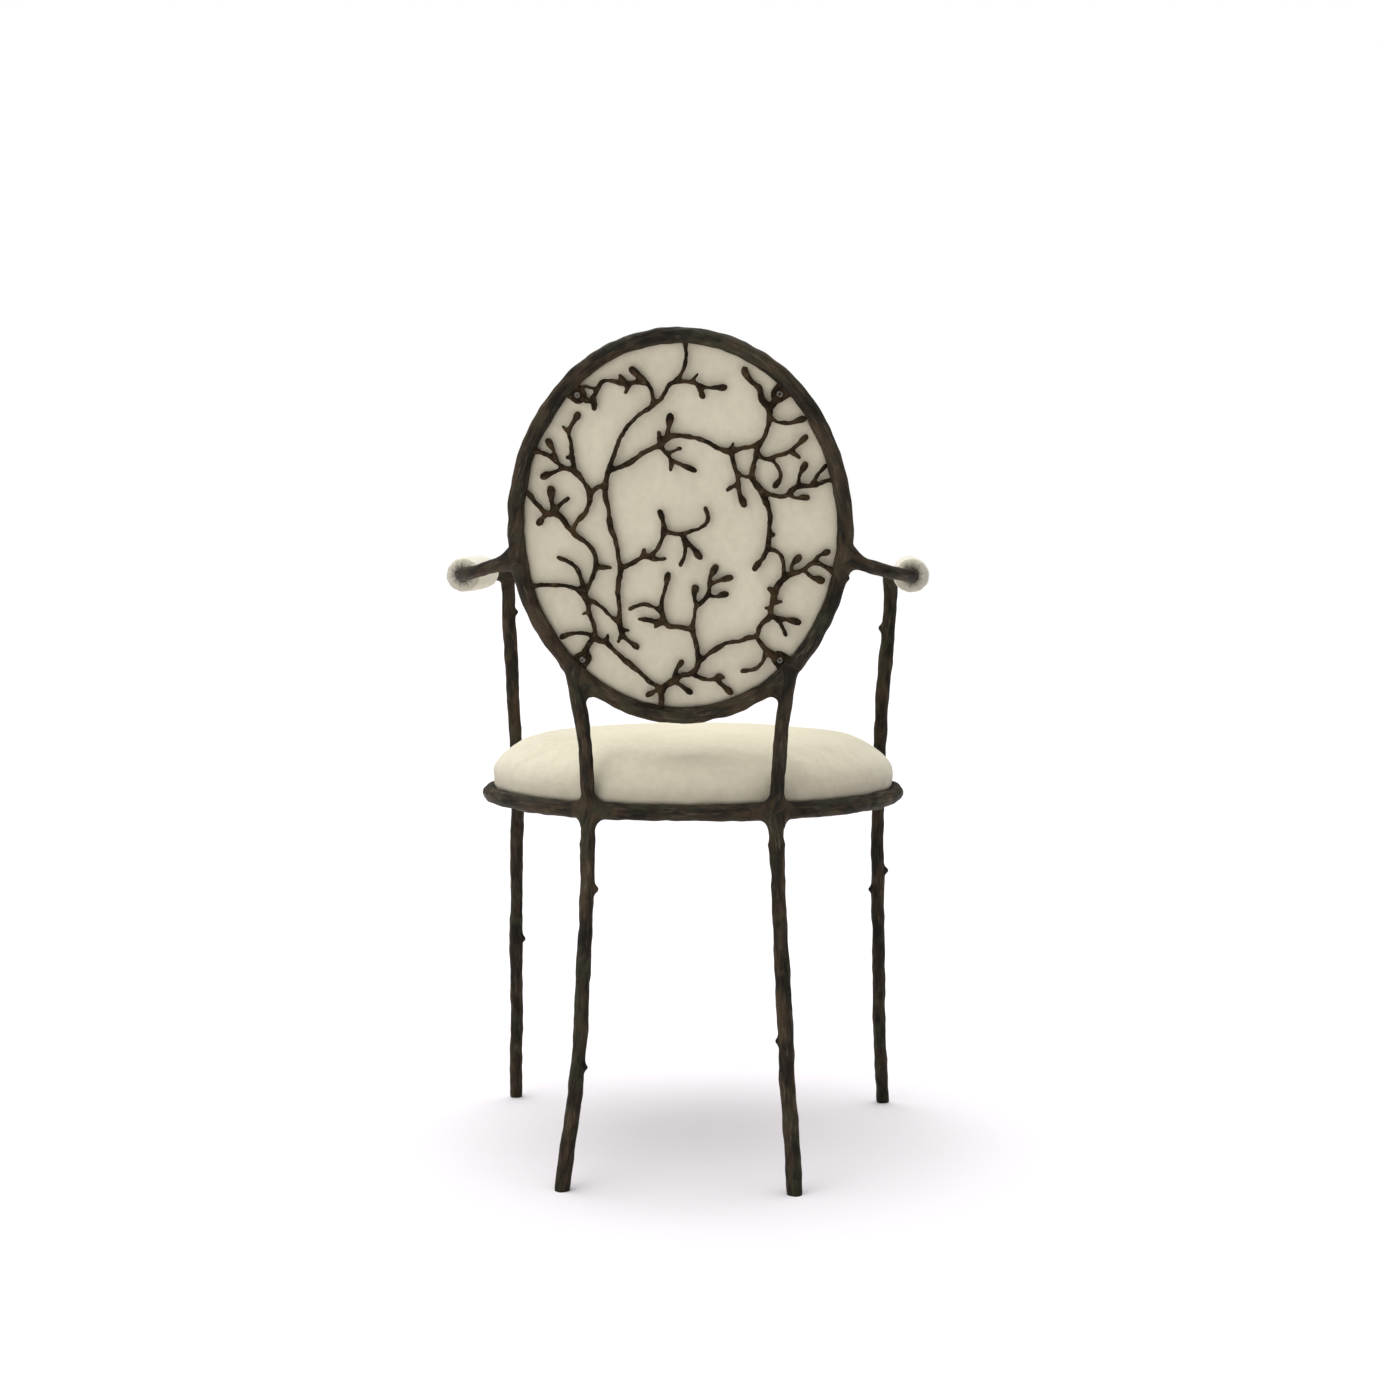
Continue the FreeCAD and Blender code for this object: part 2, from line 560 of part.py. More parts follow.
def back_screw_at(name):
    """Button head with a round socket on the lug, and a shank through the lug into the board."""
    place, _ = lug_frame(name)
    seat = back_point(place.x, place.y, LUG_TOP)
    length = LUG_TOP + BACK_PAD_REAR + BACK_PANEL_THICKNESS + BACK_BOARD_THICKNESS - SCREW_COVER
    head_top = BACK_SCREW_HEAD_HEIGHT
    profile = [(BACK_SCREW_DIAMETER / 2, -length), (BACK_SCREW_DIAMETER / 2, 0), (BACK_SCREW_HEAD / 2, 0),
               (BACK_SCREW_HEAD_TOP / 2, head_top), (BACK_SCREW_SOCKET / 2, head_top),
               (BACK_SCREW_SOCKET / 2, head_top - BACK_SCREW_SOCKET_DEPTH)]
    return turned(seat, BACK_REARWARD, BACK_UP, profile, SIDE_COUNT["screw"])


def screw_room(name):
    """Hole through a lug, and room for the screw's head on it, clear of the twigs that run into the lug."""
    place, _ = lug_frame(name)
    hole = (BACK_SCREW_DIAMETER + SCREW_CLEARANCE) / 2
    head_room = BACK_SCREW_HEAD / 2 + SCREW_CLEARANCE
    return turned(back_point(place.x, place.y, LUG_TOP), BACK_REARWARD, BACK_UP,
                  [(hole, -BACK_PAD_REAR - LUG_TOP), (hole, 0), (head_room, 0), (head_room, BACK_ROD)],
                  SIDE_COUNT["screw"])


# For each casting: its lugs, the castings that its ends are brazed to, then its stem and side twigs from
# root to tip. A point is right and up, seen from behind, in per cent of the opening's half width and half
# height, then a thickness in per cent of a plain twig; a lug's name stands for the place of its screw
BRANCHES = {
    "branch_crown": (["top_left"], [], [
        [(4, 104, 220), (5, 97, 100), (5, 91, 90), (1, 82, 90), (-6, 77, 100), (-10, 71, 90),
         (-17, 66, 100), (-27, 60, 90), (-35, 52, 100), (-42, 38, 100), (-45, 31, 120), (-47, 20, 130),
         (-45, 10, 100), (-44, 1, 140), (-41, -6, 100), (-39, -17, 100), (-38, -21, 140),
         (-40, -33, 110), (-39, -44, 100), (-39, -53, 140), (-37, -59, 100), (-32, -63, 90),
         (-29, -65, 110)],
        [(-3, 79, 100), (8, 79, 90), (18, 76, 80), (24, 76, 100), (28, 76, 130)],
        [(8, 79, 80), (12, 83, 64)],
        [(12, 77, 80), (14, 74, 90), (15, 72, 120)],
        [(-17, 66, 100), (-16, 70, 90), (-17, 75, 90), (-21, 80, 100), (-28, 85, 140)],
        [(-19, 78, 90), (-25, 79, 100), (-33, 78, 100), (-44, 80, 90), (-48, 79, 100), (-52, 73, 100),
         (-57, 69, 110), ("top_left", 120)],
        [(-32, 78, 100), (-36, 82, 90)],
        [(-30, 78, 90), (-33, 74, 90)],
        [(-50, 75, 80), (-58, 77, 90)],
        [(-53, 71, 100), (-53, 66, 110)],
        [(-38, -55, 80), (-34, -56, 76)],
        [(-38, -58, 80), (-40, -62, 76)]]),
    "branch_right_upper": (["top_right"], [], [
        [(42, 87, 120), (42, 84, 160), (46, 79, 110), (51, 75, 140), (52, 70, 150), (57, 64, 160),
         (57, 60, 110), (54, 50, 100), (50, 44, 110), (47, 34, 110), (46, 28, 120), (51, 21, 130),
         (54, 16, 150), (57, 9, 110), (57, 1, 100), (56, -8, 120), (54, -14, 100), (48, -21, 120)],
        [(57, 64, 140), (60, 68, 160), ("top_right", 180)],
        [(57, 61, 100), (61, 58, 80), (69, 57, 90), (77, 59, 130)],
        [(49, 41, 100), (54, 38, 90), (60, 39, 90), (70, 42, 100), (74, 45, 90), (79, 49, 120)],
        [(70, 42, 90), (75, 39, 100)],
        [(55, 38, 80), (60, 36, 76), (63, 32, 76), (64, 28, 90), (61, 24, 120)],
        [(48, 25, 120), (53, 21, 100), (58, 18.5, 90), (67, 18, 90), (71, 21, 130), (76, 23, 110),
         (85, 23.5, 90), (93, 26, 100), (100.5, 27.5, 180)],
        [(75, 23, 90), (76, 29, 80), (79, 34, 130)],
        [(83, 24, 80), (88, 30, 80), (92, 34, 100)],
        [(69, 19, 90), (73, 17, 80), (80, 17, 120)],
        [(57, -2, 120), (59, -3, 100)]]),
    "branch_bottom": ([], [], [
        [(-14, -103.5, 220), (-13, -96, 120), (-12, -89, 160), (-5, -84, 150), (1, -81, 110),
         (6, -80, 120), (10, -77, 130), (11, -72, 120), (9.5, -62, 110), (7.5, -56, 130), (9, -48, 90),
         (10, -43, 100), (14, -40, 110), (18, -35, 100), (19, -27, 90), (22, -22, 140)],
        [(-13, -88, 100), (-17, -90, 90), (-21, -92, 110)],
        [(-5, -84, 100), (-3, -78, 90), (0, -74, 110)],
        [(-4, -85, 90), (0, -87, 90), (5, -90, 120)],
        [(7, -80, 110), (11, -82, 100), (21, -83, 90), (24, -81, 90), (27, -82, 80)],
        [(22, -83, 100), (26, -86, 100), (31, -90, 120)],
        [(7.5, -56, 120), (0, -54, 110), (-8, -53.5, 110), (-11, -51, 150), (-16, -51, 110),
         (-22, -50, 110), (-26, -49.7, 80)],
        [(-12, -52, 100), (-16, -54, 80)],
        [(-11, -50, 120), (-12, -44, 110), (-12, -40, 90), (-9, -31, 90), (-8, -26, 130)],
        [(-12, -46, 100), (-17, -43, 90), (-24, -41.5, 90), (-32, -44, 90)],
        [(10, -42, 90), (9, -38, 90), (9.5, -33, 140)],
        [(17, -36, 90), (22, -37, 80), (28, -36, 130)],
        [(19, -31, 90), (23, -29, 80), (31, -27, 130)]]),
    "branch_left_lower": (["bottom_left"], ["branch_crown", "branch_bottom"], [
        [(-99, -32.5, 200), (-91, -31, 100), (-80, -31, 90), (-70, -32, 90), (-63, -35, 170),
         (-60, -40, 120), (-58, -48, 100), (-55, -56, 100), (-55, -60, 150), (-48, -63, 120),
         (-41, -69, 100), (-33, -75, 140), (-27, -79, 100), (-20, -85, 100), (-12, -88, 100)],
        [(-62, -35, 120), (-63, -29, 100), (-66, -22, 100), (-71, -18, 90), (-77, -16, 100)],
        [(-61, -38, 100), (-53, -41.5, 90), (-46, -47, 90), (-39, -53, 100)],
        [(-59, -46, 80), (-62.5, -47, 64)],
        [(-55, -60, 100), (-60, -58, 90), (-71, -58, 90), (-76, -59.5, 110)],
        [(-56, -60, 120), (-60, -65, 140), ("bottom_left", 180)],
        [(-48, -63, 90), (-47, -59, 80)]]),
    "branch_left_middle": ([], ["branch_left_lower"], [
        [(-102, 22, 200), (-97, 20, 120), (-90, 13, 110), (-83, 8, 120), (-79, 8.5, 140), (-70, 0, 110),
         (-67, -3, 130), (-58, -9, 100), (-54, -15, 100), (-54, -21, 120), (-58, -30, 90),
         (-61, -35, 100)],
        [(-84, 8, 90), (-87, 6, 100), (-89, 4, 140)],
        [(-80, 9, 120), (-81, 14, 100), (-81.5, 21, 150)],
        [(-79, 10, 110), (-76, 13, 90), (-71, 16.5, 100)],
        [(-54, -21, 100), (-49, -21, 120), (-45, -21.3, 80)]]),
    "branch_left_upper": ([], ["branch_crown", "branch_left_middle"], [
        [(-95, 43, 200), (-87, 41.5, 100), (-81, 39, 90), (-74, 34, 90), (-66, 31, 140), (-60, 25, 100),
         (-57, 19, 140), (-59, 10, 100), (-63, 6, 130), (-66, 3, 90), (-68, -1, 90)],
        [(-77, 36, 90), (-79, 42, 80), (-82, 47, 130)],
        [(-66, 31, 110), (-67.5, 40, 110), (-68, 46, 90), (-69, 53, 90), (-66, 58, 100),
         (-64, 61, 140)],
        [(-69, 52, 80), (-73, 55.5, 60)],
        [(-67, 39, 100), (-70, 39, 90)],
        [(-73, 33, 90), (-79, 31, 90), (-85, 29, 140)],
        [(-57, 19, 110), (-51, 23, 100), (-47, 24, 100)]]),
    "branch_right_lower": (["bottom_right"], ["branch_bottom", "branch_right_upper"], [
        [(11, -74, 120), (17, -69.5, 100), (23, -66, 140), (29, -63, 90), (39, -61.5, 100),
         (43, -60, 130), (48, -59, 100), (51, -53, 110), (57, -48, 130), (58, -43, 110), (60, -36, 160),
         (63, -30, 150), (70, -25, 120), (74, -24, 120), (79, -22, 100), (85, -18.5, 110),
         (92, -20.5, 100), (103, -26.2, 200)],
        [(66, -28, 120), (66, -22, 90), (65, -16, 90), (62, -12.5, 90), (56, -11, 100)],
        [(48, -59, 100), (54, -66, 120), ("bottom_right", 180)],
        [(54, -67, 90), (53, -72, 80), (48, -77, 90), (40, -78.5, 100)],
        [(57, -48, 100), (66, -49.5, 90), (74, -51, 140)],
        [(61, -49, 90), (65, -54, 80), (67, -58, 100)],
        [(58, -44, 100), (55, -43.5, 76)],
        [(59, -41, 100), (64, -40, 70)],
        [(60, -36, 120), (57, -33, 100)],
        [(71, -24, 90), (71, -20, 90), (75, -16, 130)],
        [(79, -22, 90), (83, -26, 80), (89, -28, 140)],
        [(84, -19, 90), (88, -15, 90), (93, -12.7, 120)]]),
    "branch_centre": ([], ["branch_crown", "branch_right_upper"], [
        [(-45, 31, 100), (-38, 33.5, 100), (-32, 35.5, 130), (-21, 42, 110), (-12, 45.5, 120),
         (-5, 50, 120), (2, 50.3, 110), (18, 47, 100), (25, 43.5, 100), (32, 42, 140), (40, 43.5, 100),
         (47, 45, 90), (53, 48.5, 90)],
        [(-12, 46, 100), (-12.5, 51.5, 100)],
        [(-8, 49, 100), (-6.5, 54, 90), (-5.3, 60, 140)],
        [(-12, 45, 100), (-7, 40, 90), (-5, 37, 90), (-5.5, 32, 76)],
        [(-7, 41, 80), (0.5, 43.5, 80)],
        [(-5, 37.5, 90), (0, 35.5, 90), (9, 32, 110)],
        [(32, 42, 100), (34, 46, 70)],
        [(33, 42, 120), (34, 37, 100), (37, 28, 100), (38, 20, 100), (40.5, 14, 130)],
        [(37, 25, 90), (31, 21.5, 96)],
        [(36, 31, 90), (40, 29, 80), (47, 27.5, 80)]]),
    "branch_heart": ([], ["branch_crown"], [
        [(-38, -21.5, 120), (-31, -19, 110), (-25, -16, 100), (-18, -14, 100), (-12, -7, 90),
         (-10, 0, 130), (-10.5, 4, 100), (-12, 8.5, 120)],
        [(-25, -16, 100), (-23, -12, 96)],
        [(-22, -15.5, 90), (-14, -16.7, 100), (-10, -16.3, 80)],
        [(-10, -1, 100), (-2, -2.8, 100), (8, -1, 80), (14, 1, 80), (18, 5, 100), (16.5, 11, 96)],
        [(1, -2.5, 100), (3, -8, 90), (3, -14, 90), (0.5, -19.5, 96)],
        [(3, -5, 90), (7, -9, 90), (12, -14.5, 130)]]),
}

back_opening = oval_plate(BACK_RING_WIDTH / 2, BACK_RING_HEIGHT / 2, -BACK_ROD, BACK_ROD)
back_opening.Placement = BACK_PLACEMENT
for name, (lugs, carriers, routes) in BRANCHES.items():
    neighbours = [back_ring] + [pieces[carrier] for carrier in carriers]
    lug_shapes = [lug(place) for place in lugs]
    twigs = [twig(route, neighbours + lug_shapes) for route in routes]
    casting = twigs[0].fuse(twigs[1:] + lug_shapes)
    pieces[name] = casting.cut(neighbours + [screw_room(place) for place in lugs])
back_screws = [back_screw_at(place) for place in LUGS]
pieces["back_screws"] = Part.makeCompound(back_screws)


# Back pad: a board with a flat cloth panel towards the branches, and a stuffed front whose cloth comes
# round the board

back_half_width = OPENING_HALF_WIDTH - BACK_GAP
back_half_height = OPENING_HALF_HEIGHT - BACK_GAP
panel_front = BACK_PAD_REAR + BACK_PANEL_THICKNESS
back_board_front = panel_front + BACK_BOARD_THICKNESS
back_board = oval_plate(back_half_width - COVER_THICKNESS, back_half_height - COVER_THICKNESS,
                        panel_front, back_board_front)
back_cushion = crowned_pad(back_half_width, back_half_height, panel_front, back_board_front, BACK_BULGE,
                           BACK_BULGE_RISE, BACK_SHOULDER_INSET, back_board_front + BACK_SHOULDER_RISE,
                           back_board_front + BACK_CROWN_RISE).cut(back_board)
back_panel = oval_plate(back_half_width, back_half_height, BACK_PAD_REAR, panel_front)
for shape in (back_board, back_cushion, back_panel):
    shape.Placement = BACK_PLACEMENT
pieces["back_board"] = back_board.cut(back_screws)
pieces["back_cushion"] = back_cushion
pieces["back_panel"] = back_panel.cut(back_screws)


# The origin goes under the middle of the chair, at the floor, and each piece is written to its own file

whole = Part.makeCompound(list(pieces.values())).optimalBoundingBox(False, False)
to_origin = Vector(-(whole.XMin + whole.XMax) / 2, -(whole.YMin + whole.YMax) / 2, 0)
os.makedirs("parts", exist_ok=True)
for name, shape in pieces.items():
    shape.translate(to_origin)
    shape.exportStep("parts/" + name + ".step")
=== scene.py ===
import math

import bmesh
import bpy
import numpy as np
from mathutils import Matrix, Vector, kdtree, noise


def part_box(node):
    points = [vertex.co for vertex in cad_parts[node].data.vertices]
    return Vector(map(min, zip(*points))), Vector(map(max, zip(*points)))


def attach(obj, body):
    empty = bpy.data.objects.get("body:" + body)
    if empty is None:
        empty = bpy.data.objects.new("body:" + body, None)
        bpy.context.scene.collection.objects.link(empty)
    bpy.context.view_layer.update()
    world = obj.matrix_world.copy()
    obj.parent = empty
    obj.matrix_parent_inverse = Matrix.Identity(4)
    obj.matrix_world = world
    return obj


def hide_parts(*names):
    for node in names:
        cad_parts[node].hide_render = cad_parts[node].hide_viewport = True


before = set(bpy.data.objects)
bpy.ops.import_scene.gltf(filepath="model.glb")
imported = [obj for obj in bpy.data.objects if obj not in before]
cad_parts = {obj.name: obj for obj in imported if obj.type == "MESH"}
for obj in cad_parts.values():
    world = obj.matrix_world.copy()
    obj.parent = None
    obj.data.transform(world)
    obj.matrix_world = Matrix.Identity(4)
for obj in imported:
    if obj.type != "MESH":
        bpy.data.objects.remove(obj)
scene = bpy.context.scene
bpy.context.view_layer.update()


# The welded frame: two rings, four legs, two uprights, two arm posts and two arm rails. The rods are
# bronze cast from real twigs, so they keep the bark's furrows, the swellings and the cut stubs. They
# are welded end to side, and every weld is filled out and dressed to a smooth saddle.

RODS = ("seat_ring", "back_ring", "rear_leg_left", "rear_leg_right", "front_leg_left", "front_leg_right",
        "back_upright_left", "back_upright_right", "arm_post_left", "arm_post_right",
        "arm_rail_left", "arm_rail_right")
RING_ROD_RADIUS = 0.0084
# The back leans by this angle
RECLINE = math.radians(9)
RING_UP = {"seat_ring": np.array([0, 1.0, 0]),
           "back_ring": np.array([0, math.sin(RECLINE), math.cos(RECLINE)])}
# Where the bark's pattern begins and ends on each ring, in radians round it
RING_SEAM = {"seat_ring": 1.134, "back_ring": -0.83}
ROD_SLICES = 26
WELD_FILLET = 0.006
WELD_BEAD = 0.0012
# Rounds of evening out that give a weld's zone and its bead their widths
WELD_SPREAD = 12
BEAD_SPREAD = 24
# The edges of the zone are this steep, and its bark is lower by this share
WELD_STEEPNESS = 4
WELD_DRESSED = 0.6
# The smoothing of the rebuilt surface takes this much off the rods, so it is added first
SMOOTHED_OFF = 0.0009
ROD_GRAIN = 0.0015
# What is lower than this is pressed level on the floor
FOOT_LEVEL = 0.0012
# The stubs just under the seat ring are filed down towards this radius, between these heights. The file takes
# this share of what stands out, and starts softly at both heights
FILED_RADIUS = 0.0086
FILED_BETWEEN = (0.364, 0.400)
FILED_SHARE = 0.7
FILE_TAPER = 0.004
# The bark's pattern lies on a rod of this radius, and each rod takes its own stretch of the pattern
BARK_RADIUS = 0.0078
BARK_STRETCH = 0.7
HALF_MILLIMETRE = 0.0005
# Each kind of bark relief: how closely it repeats round the rod and along it, per metre, and its height
BARK = ((70, 34, 0.0013), (150, 75, 0.0008), (300, 42, 0.0006))


def built(name, shape):
    """New object from a finished bmesh."""
    mesh = bpy.data.meshes.new(name)
    shape.to_mesh(mesh)
    shape.free()
    piece = bpy.data.objects.new(name, mesh)
    scene.collection.objects.link(piece)
    return piece


def joined(name, node_names):
    """New object made of copies of these nodes' meshes."""
    shape = bmesh.new()
    for node in node_names:
        shape.from_mesh(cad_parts[node].data)
    bmesh.ops.remove_doubles(shape, verts=shape.verts, dist=1e-6)
    return built(name, shape)


def apply(piece, *modifiers):
    """Adds modifiers, given as a type and its values, and applies them one after the other."""
    for kind, values in modifiers:
        modifier = piece.modifiers.new(kind, kind)
        for key, value in values.items():
            setattr(modifier, key, value)
        depsgraph = bpy.context.evaluated_depsgraph_get()
        before = piece.data
        piece.data = bpy.data.meshes.new_from_object(piece.evaluated_get(depsgraph))
        piece.modifiers.clear()
        bpy.data.meshes.remove(before)


def voxels(size):
    """Modifier that rebuilds a mesh as one skin, from small cubes of this size."""
    return "REMESH", {"mode": "VOXEL", "voxel_size": size}


def grown(distance):
    """Modifier that moves a surface outwards."""
    return "DISPLACE", {"strength": distance, "mid_level": 0.0}


def smoothed(rounds):
    """Modifier that evens a surface out."""
    return "SMOOTH", {"factor": 0.5, "iterations": rounds}


FINER = ("SUBSURF", {"levels": 1, "render_levels": 1})


def places(mesh):
    """The mesh's corners as rows of x, y and z."""
    flat = np.empty(len(mesh.vertices) * 3, np.float32)
    mesh.vertices.foreach_get("co", flat)
    return flat.reshape(-1, 3).astype(float)


def facing(mesh):
    """The way that the surface faces at each corner."""
    flat = np.empty(len(mesh.vertices) * 3, np.float32)
    mesh.vertex_normals.foreach_get("vector", flat)
    return flat.reshape(-1, 3).astype(float)


def move_to(mesh, rows):
    """Puts the mesh's corners at new places."""
    mesh.vertices.foreach_set("co", rows.astype(np.float32).ravel())
    mesh.update()


def spread(mesh, values, rounds):
    """Evens a number per corner out over the neighbouring corners."""
    pairs = np.empty(len(mesh.edges) * 2, np.int32)
    mesh.edges.foreach_get("vertices", pairs)
    here, there = pairs.reshape(-1, 2).T
    count = len(values)
    share = np.bincount(here, minlength=count) + np.bincount(there, minlength=count) + 1.0
    for _ in range(rounds):
        from_there = np.bincount(here, values[there], count)
        from_here = np.bincount(there, values[here], count)
        values = (values + from_there + from_here) / share
    return values


def keep_numbers(mesh, name, rows):
    """Keeps a number or a vector for each corner under a name that a material can read."""
    kind, field = ("FLOAT_VECTOR", "vector") if rows.ndim == 2 else ("FLOAT", "value")
    mesh.attributes.new(name, kind, "POINT").data.foreach_set(field, rows.astype(np.float32).ravel())


def unit_rows(rows):
    """The same rows of vectors, each of length one."""
    return rows / np.maximum(np.linalg.norm(rows, axis=1), 1e-9)[:, None]


def owners(points):
    """For each point, the number of the rod that it belongs to."""
    corners = [(corner.co, number) for number, rod in enumerate(RODS)
               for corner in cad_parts[rod].data.vertices]
    tree = kdtree.KDTree(len(corners))
    for i, (place, _) in enumerate(corners):
        tree.insert(place, i)
    tree.balance()
    return np.array([corners[tree.find(point)[1]][1] for point in points])


def ring_line(rod, points):
    """Centreline of an oval ring beside these points, its direction, and the way round from the seam."""
    low, high = (np.array(corner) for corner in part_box(rod))
    centre = (low + high) / 2
    up = RING_UP[rod]
    tall = int(np.argmax(up))
    half_width = (high[0] - low[0]) / 2 - RING_ROD_RADIUS
    half_height = ((high[tall] - low[tall]) / 2 - RING_ROD_RADIUS) / up[tall]
    across = points - centre
    turn = np.arctan2(across @ up / half_height, across[:, 0] / half_width)
    sideways = np.array([half_width, 0, 0])
    line = centre + np.outer(np.cos(turn), sideways) + np.outer(np.sin(turn), up * half_height)
    ahead = np.outer(-np.sin(turn), sideways) + np.outer(np.cos(turn), up * half_height)
    return line, unit_rows(ahead), np.mod(turn - RING_SEAM[rod], 2 * math.pi) * (half_width + half_height) / 2


def cloudy(rows):
    """An uneven number from about -0.5 to 0.5 for each row of a vector."""
    return np.array([noise.noise(Vector(row)) for row in rows])


def rod_line(rod, points):
    """Centreline of a bent rod beside these points, its direction, and the way along it."""
    along = np.abs(points[:, 0]) - points[:, 1] if "rail" in rod else points[:, 2]
    slices = np.linspace(along.min(), along.max(), ROD_SLICES)
    middles = (slices[1:] + slices[:-1]) / 2
    owner = np.clip(np.searchsorted(slices, along) - 1, 0, len(middles) - 1)
    counts = np.bincount(owner, minlength=len(middles))
    used = counts > 3
    centres = np.stack([np.bincount(owner, points[:, axis], len(middles))[used] / counts[used]
                        for axis in range(3)], axis=1)
    middles = middles[used]
    centres[1:-1] = (centres[:-2] + 2 * centres[1:-1] + centres[2:]) / 4
    ways = unit_rows(np.gradient(centres, axis=0))
    lengths = np.concatenate([[0], np.cumsum(np.linalg.norm(np.diff(centres, axis=0), axis=1))])
    line, ahead = (np.stack([np.interp(along, middles, rows[:, axis]) for axis in range(3)], axis=1)
                   for rows in (centres, ways))
    return line, unit_rows(ahead), np.interp(along, middles, lengths)


def filed_off(points, outward):
    """What a file takes off the stubs by the seat: most of what stands past the filed radius."""
    reach = np.linalg.norm(outward, axis=1)
    low, high = FILED_BETWEEN
    height = points[:, 2]
    within = np.clip((height - low) / FILE_TAPER, 0, 1) * np.clip((high - height) / FILE_TAPER, 0, 1)
    too_far = np.clip(reach - FILED_RADIUS, 0, None)
    return outward * (FILED_SHARE * within * too_far / np.maximum(reach, 1e-9))[:, None]


twig_frame = joined("twig_frame", RODS)
apply(twig_frame, voxels(ROD_GRAIN), grown(WELD_FILLET), voxels(ROD_GRAIN), grown(SMOOTHED_OFF - WELD_FILLET),
      voxels(ROD_GRAIN), smoothed(5))

# Each corner of the frame gets its place along its rod and round it, so that the bark runs lengthwise
mesh = twig_frame.data
points = places(mesh)
rod_of = owners(points)
rod_space = np.zeros_like(points)
swelling = np.zeros(len(points))
for number, rod in enumerate(RODS):
    mine = rod_of == number
    line, ahead, along = (ring_line if "ring" in rod else rod_line)(rod, points[mine])
    first = np.array([0, 0, 1.0] if "ring" in rod or "rail" in rod else [0, 1.0, 0])
    first = unit_rows(first - ahead * (ahead @ first)[:, None])
    outward = points[mine] - line
    if "rear_leg" in rod:
        points[mine] -= filed_off(points[mine], outward - ahead * np.sum(outward * ahead, axis=1)[:, None])
    turn = np.arctan2(np.sum(outward * np.cross(ahead, first), axis=1), np.sum(outward * first, axis=1))
    rod_space[mine] = np.stack([BARK_RADIUS * np.cos(turn), BARK_RADIUS * np.sin(turn),
                                along + BARK_STRETCH * number], axis=1)
for around, lengthwise, height in BARK:
    swelling += height * cloudy(rod_space * (around, around, lengthwise))
mixed = np.abs(spread(mesh, rod_of.astype(float), WELD_SPREAD) - rod_of)
on_weld = np.clip(WELD_STEEPNESS * mixed, 0, 1)
swelling = spread(mesh, swelling * (1 - WELD_DRESSED * on_weld), 1)
beads = WELD_BEAD * spread(mesh, on_weld, BEAD_SPREAD)
points = points + facing(mesh) * (swelling + beads)[:, None]
points[:, 2] = np.where(points[:, 2] < FOOT_LEVEL, 0, points[:, 2])
move_to(mesh, points)
keep_numbers(mesh, "rod_space", rod_space)
keep_numbers(mesh, "swelling", swelling / HALF_MILLIMETRE)
keep_numbers(mesh, "on_weld", spread(mesh, on_weld, 4))


class Shade:
    """A value in a node tree. Sums, differences and products of values add Math nodes."""

    def __init__(self, tree, socket=None):
        self.tree = tree
        self.socket = socket

    def node(self, kind, settings, sockets, output=0):
        """New node: its settings are made first, then its sockets get their values or links."""
        made = self.tree.nodes.new(kind)
        for name, value in settings.items():
            setattr(made, name, value)
        for name, value in sockets.items():
            if isinstance(value, Shade):
                self.tree.links.new(value.socket, made.inputs[name])
            else:
                made.inputs[name].default_value = value
        return Shade(self.tree, made.outputs[output])

    def in_space(self):
        """Place on the chair."""
        return self.node("ShaderNodeTexCoord", {}, {}, 3)

    def kept(self, name):
        """Number that the mesh keeps under this name."""
        return self.node("ShaderNodeAttribute", {"attribute_name": name}, {}, 2)

    def math(self, operation, first, second):
        """Math node on two values."""
        return self.node("ShaderNodeMath", {"operation": operation}, {0: first, 1: second})

    def __add__(self, other):
        return self.math("ADD", self, other)

    __radd__ = __add__

    def __sub__(self, other):
        return self.math("SUBTRACT", self, other)

    def __rsub__(self, other):
        return self.math("SUBTRACT", other, self)

    def __mul__(self, other):
        return self.math("MULTIPLY", self, other)

    def between(self, low, high):
        """0 up to low, 1 from high on, and a soft rise between them."""
        return self.node("ShaderNodeMapRange", {"interpolation_type": "SMOOTHSTEP"},
                         {"Value": self, "From Min": low, "From Max": high})

    def blend(self, first, second):
        """From the first colour to the second as this value goes from 0 to 1."""
        colours = [c if isinstance(c, Shade) else (*c, 1) for c in (first, second)]
        return self.node("ShaderNodeMix", {"data_type": "RGBA"}, {0: self, 6: colours[0], 7: colours[1]}, 2)

    def stretched(self, scale):
        """The same vector with each of its parts multiplied."""
        return self.node("ShaderNodeVectorMath", {"operation": "MULTIPLY"}, {0: self, 1: scale})

    def noise(self, scale, detail, roughness=0.5):
        """Cloudy value from 0 to 1 at this place."""
        return self.node("ShaderNodeTexNoise", {},
                         {"Vector": self, "Scale": scale, "Detail": detail, "Roughness": roughness})

    def bump(self, strength, distance):
        """The surface's way of facing, as this height would turn it."""
        return self.node("ShaderNodeBump", {}, {"Height": self, "Strength": strength, "Distance": distance})


def new_finish(name):
    """New material, its surface shader, and a value to start expressions from."""
    material = bpy.data.materials.new(name)
    material.use_nodes = True
    return material, material.node_tree.nodes["Principled BSDF"], Shade(material.node_tree)


def feed(shader, **sockets):
    """Sets or links the shader's own sockets, named with _ for spaces."""
    for name, value in sockets.items():
        target = shader.inputs[name.replace("_", " ")]
        if isinstance(value, Shade):
            value.tree.links.new(value.socket, target)
        else:
            target.default_value = value


def paint(node, material):
    """Gives a CAD node its material."""
    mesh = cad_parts[node].data
    mesh.materials.clear()
    mesh.materials.append(material)


def dress(piece, material, slot, *nodes):
    """Shades a piece smooth in its material, seats it on the chair and lets it stand for its CAD nodes."""
    piece.data.polygons.foreach_set("use_smooth", np.ones(len(piece.data.polygons), bool))
    piece.data.materials.append(material)
    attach(piece, "root")
    if nodes:
        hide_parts(*nodes)


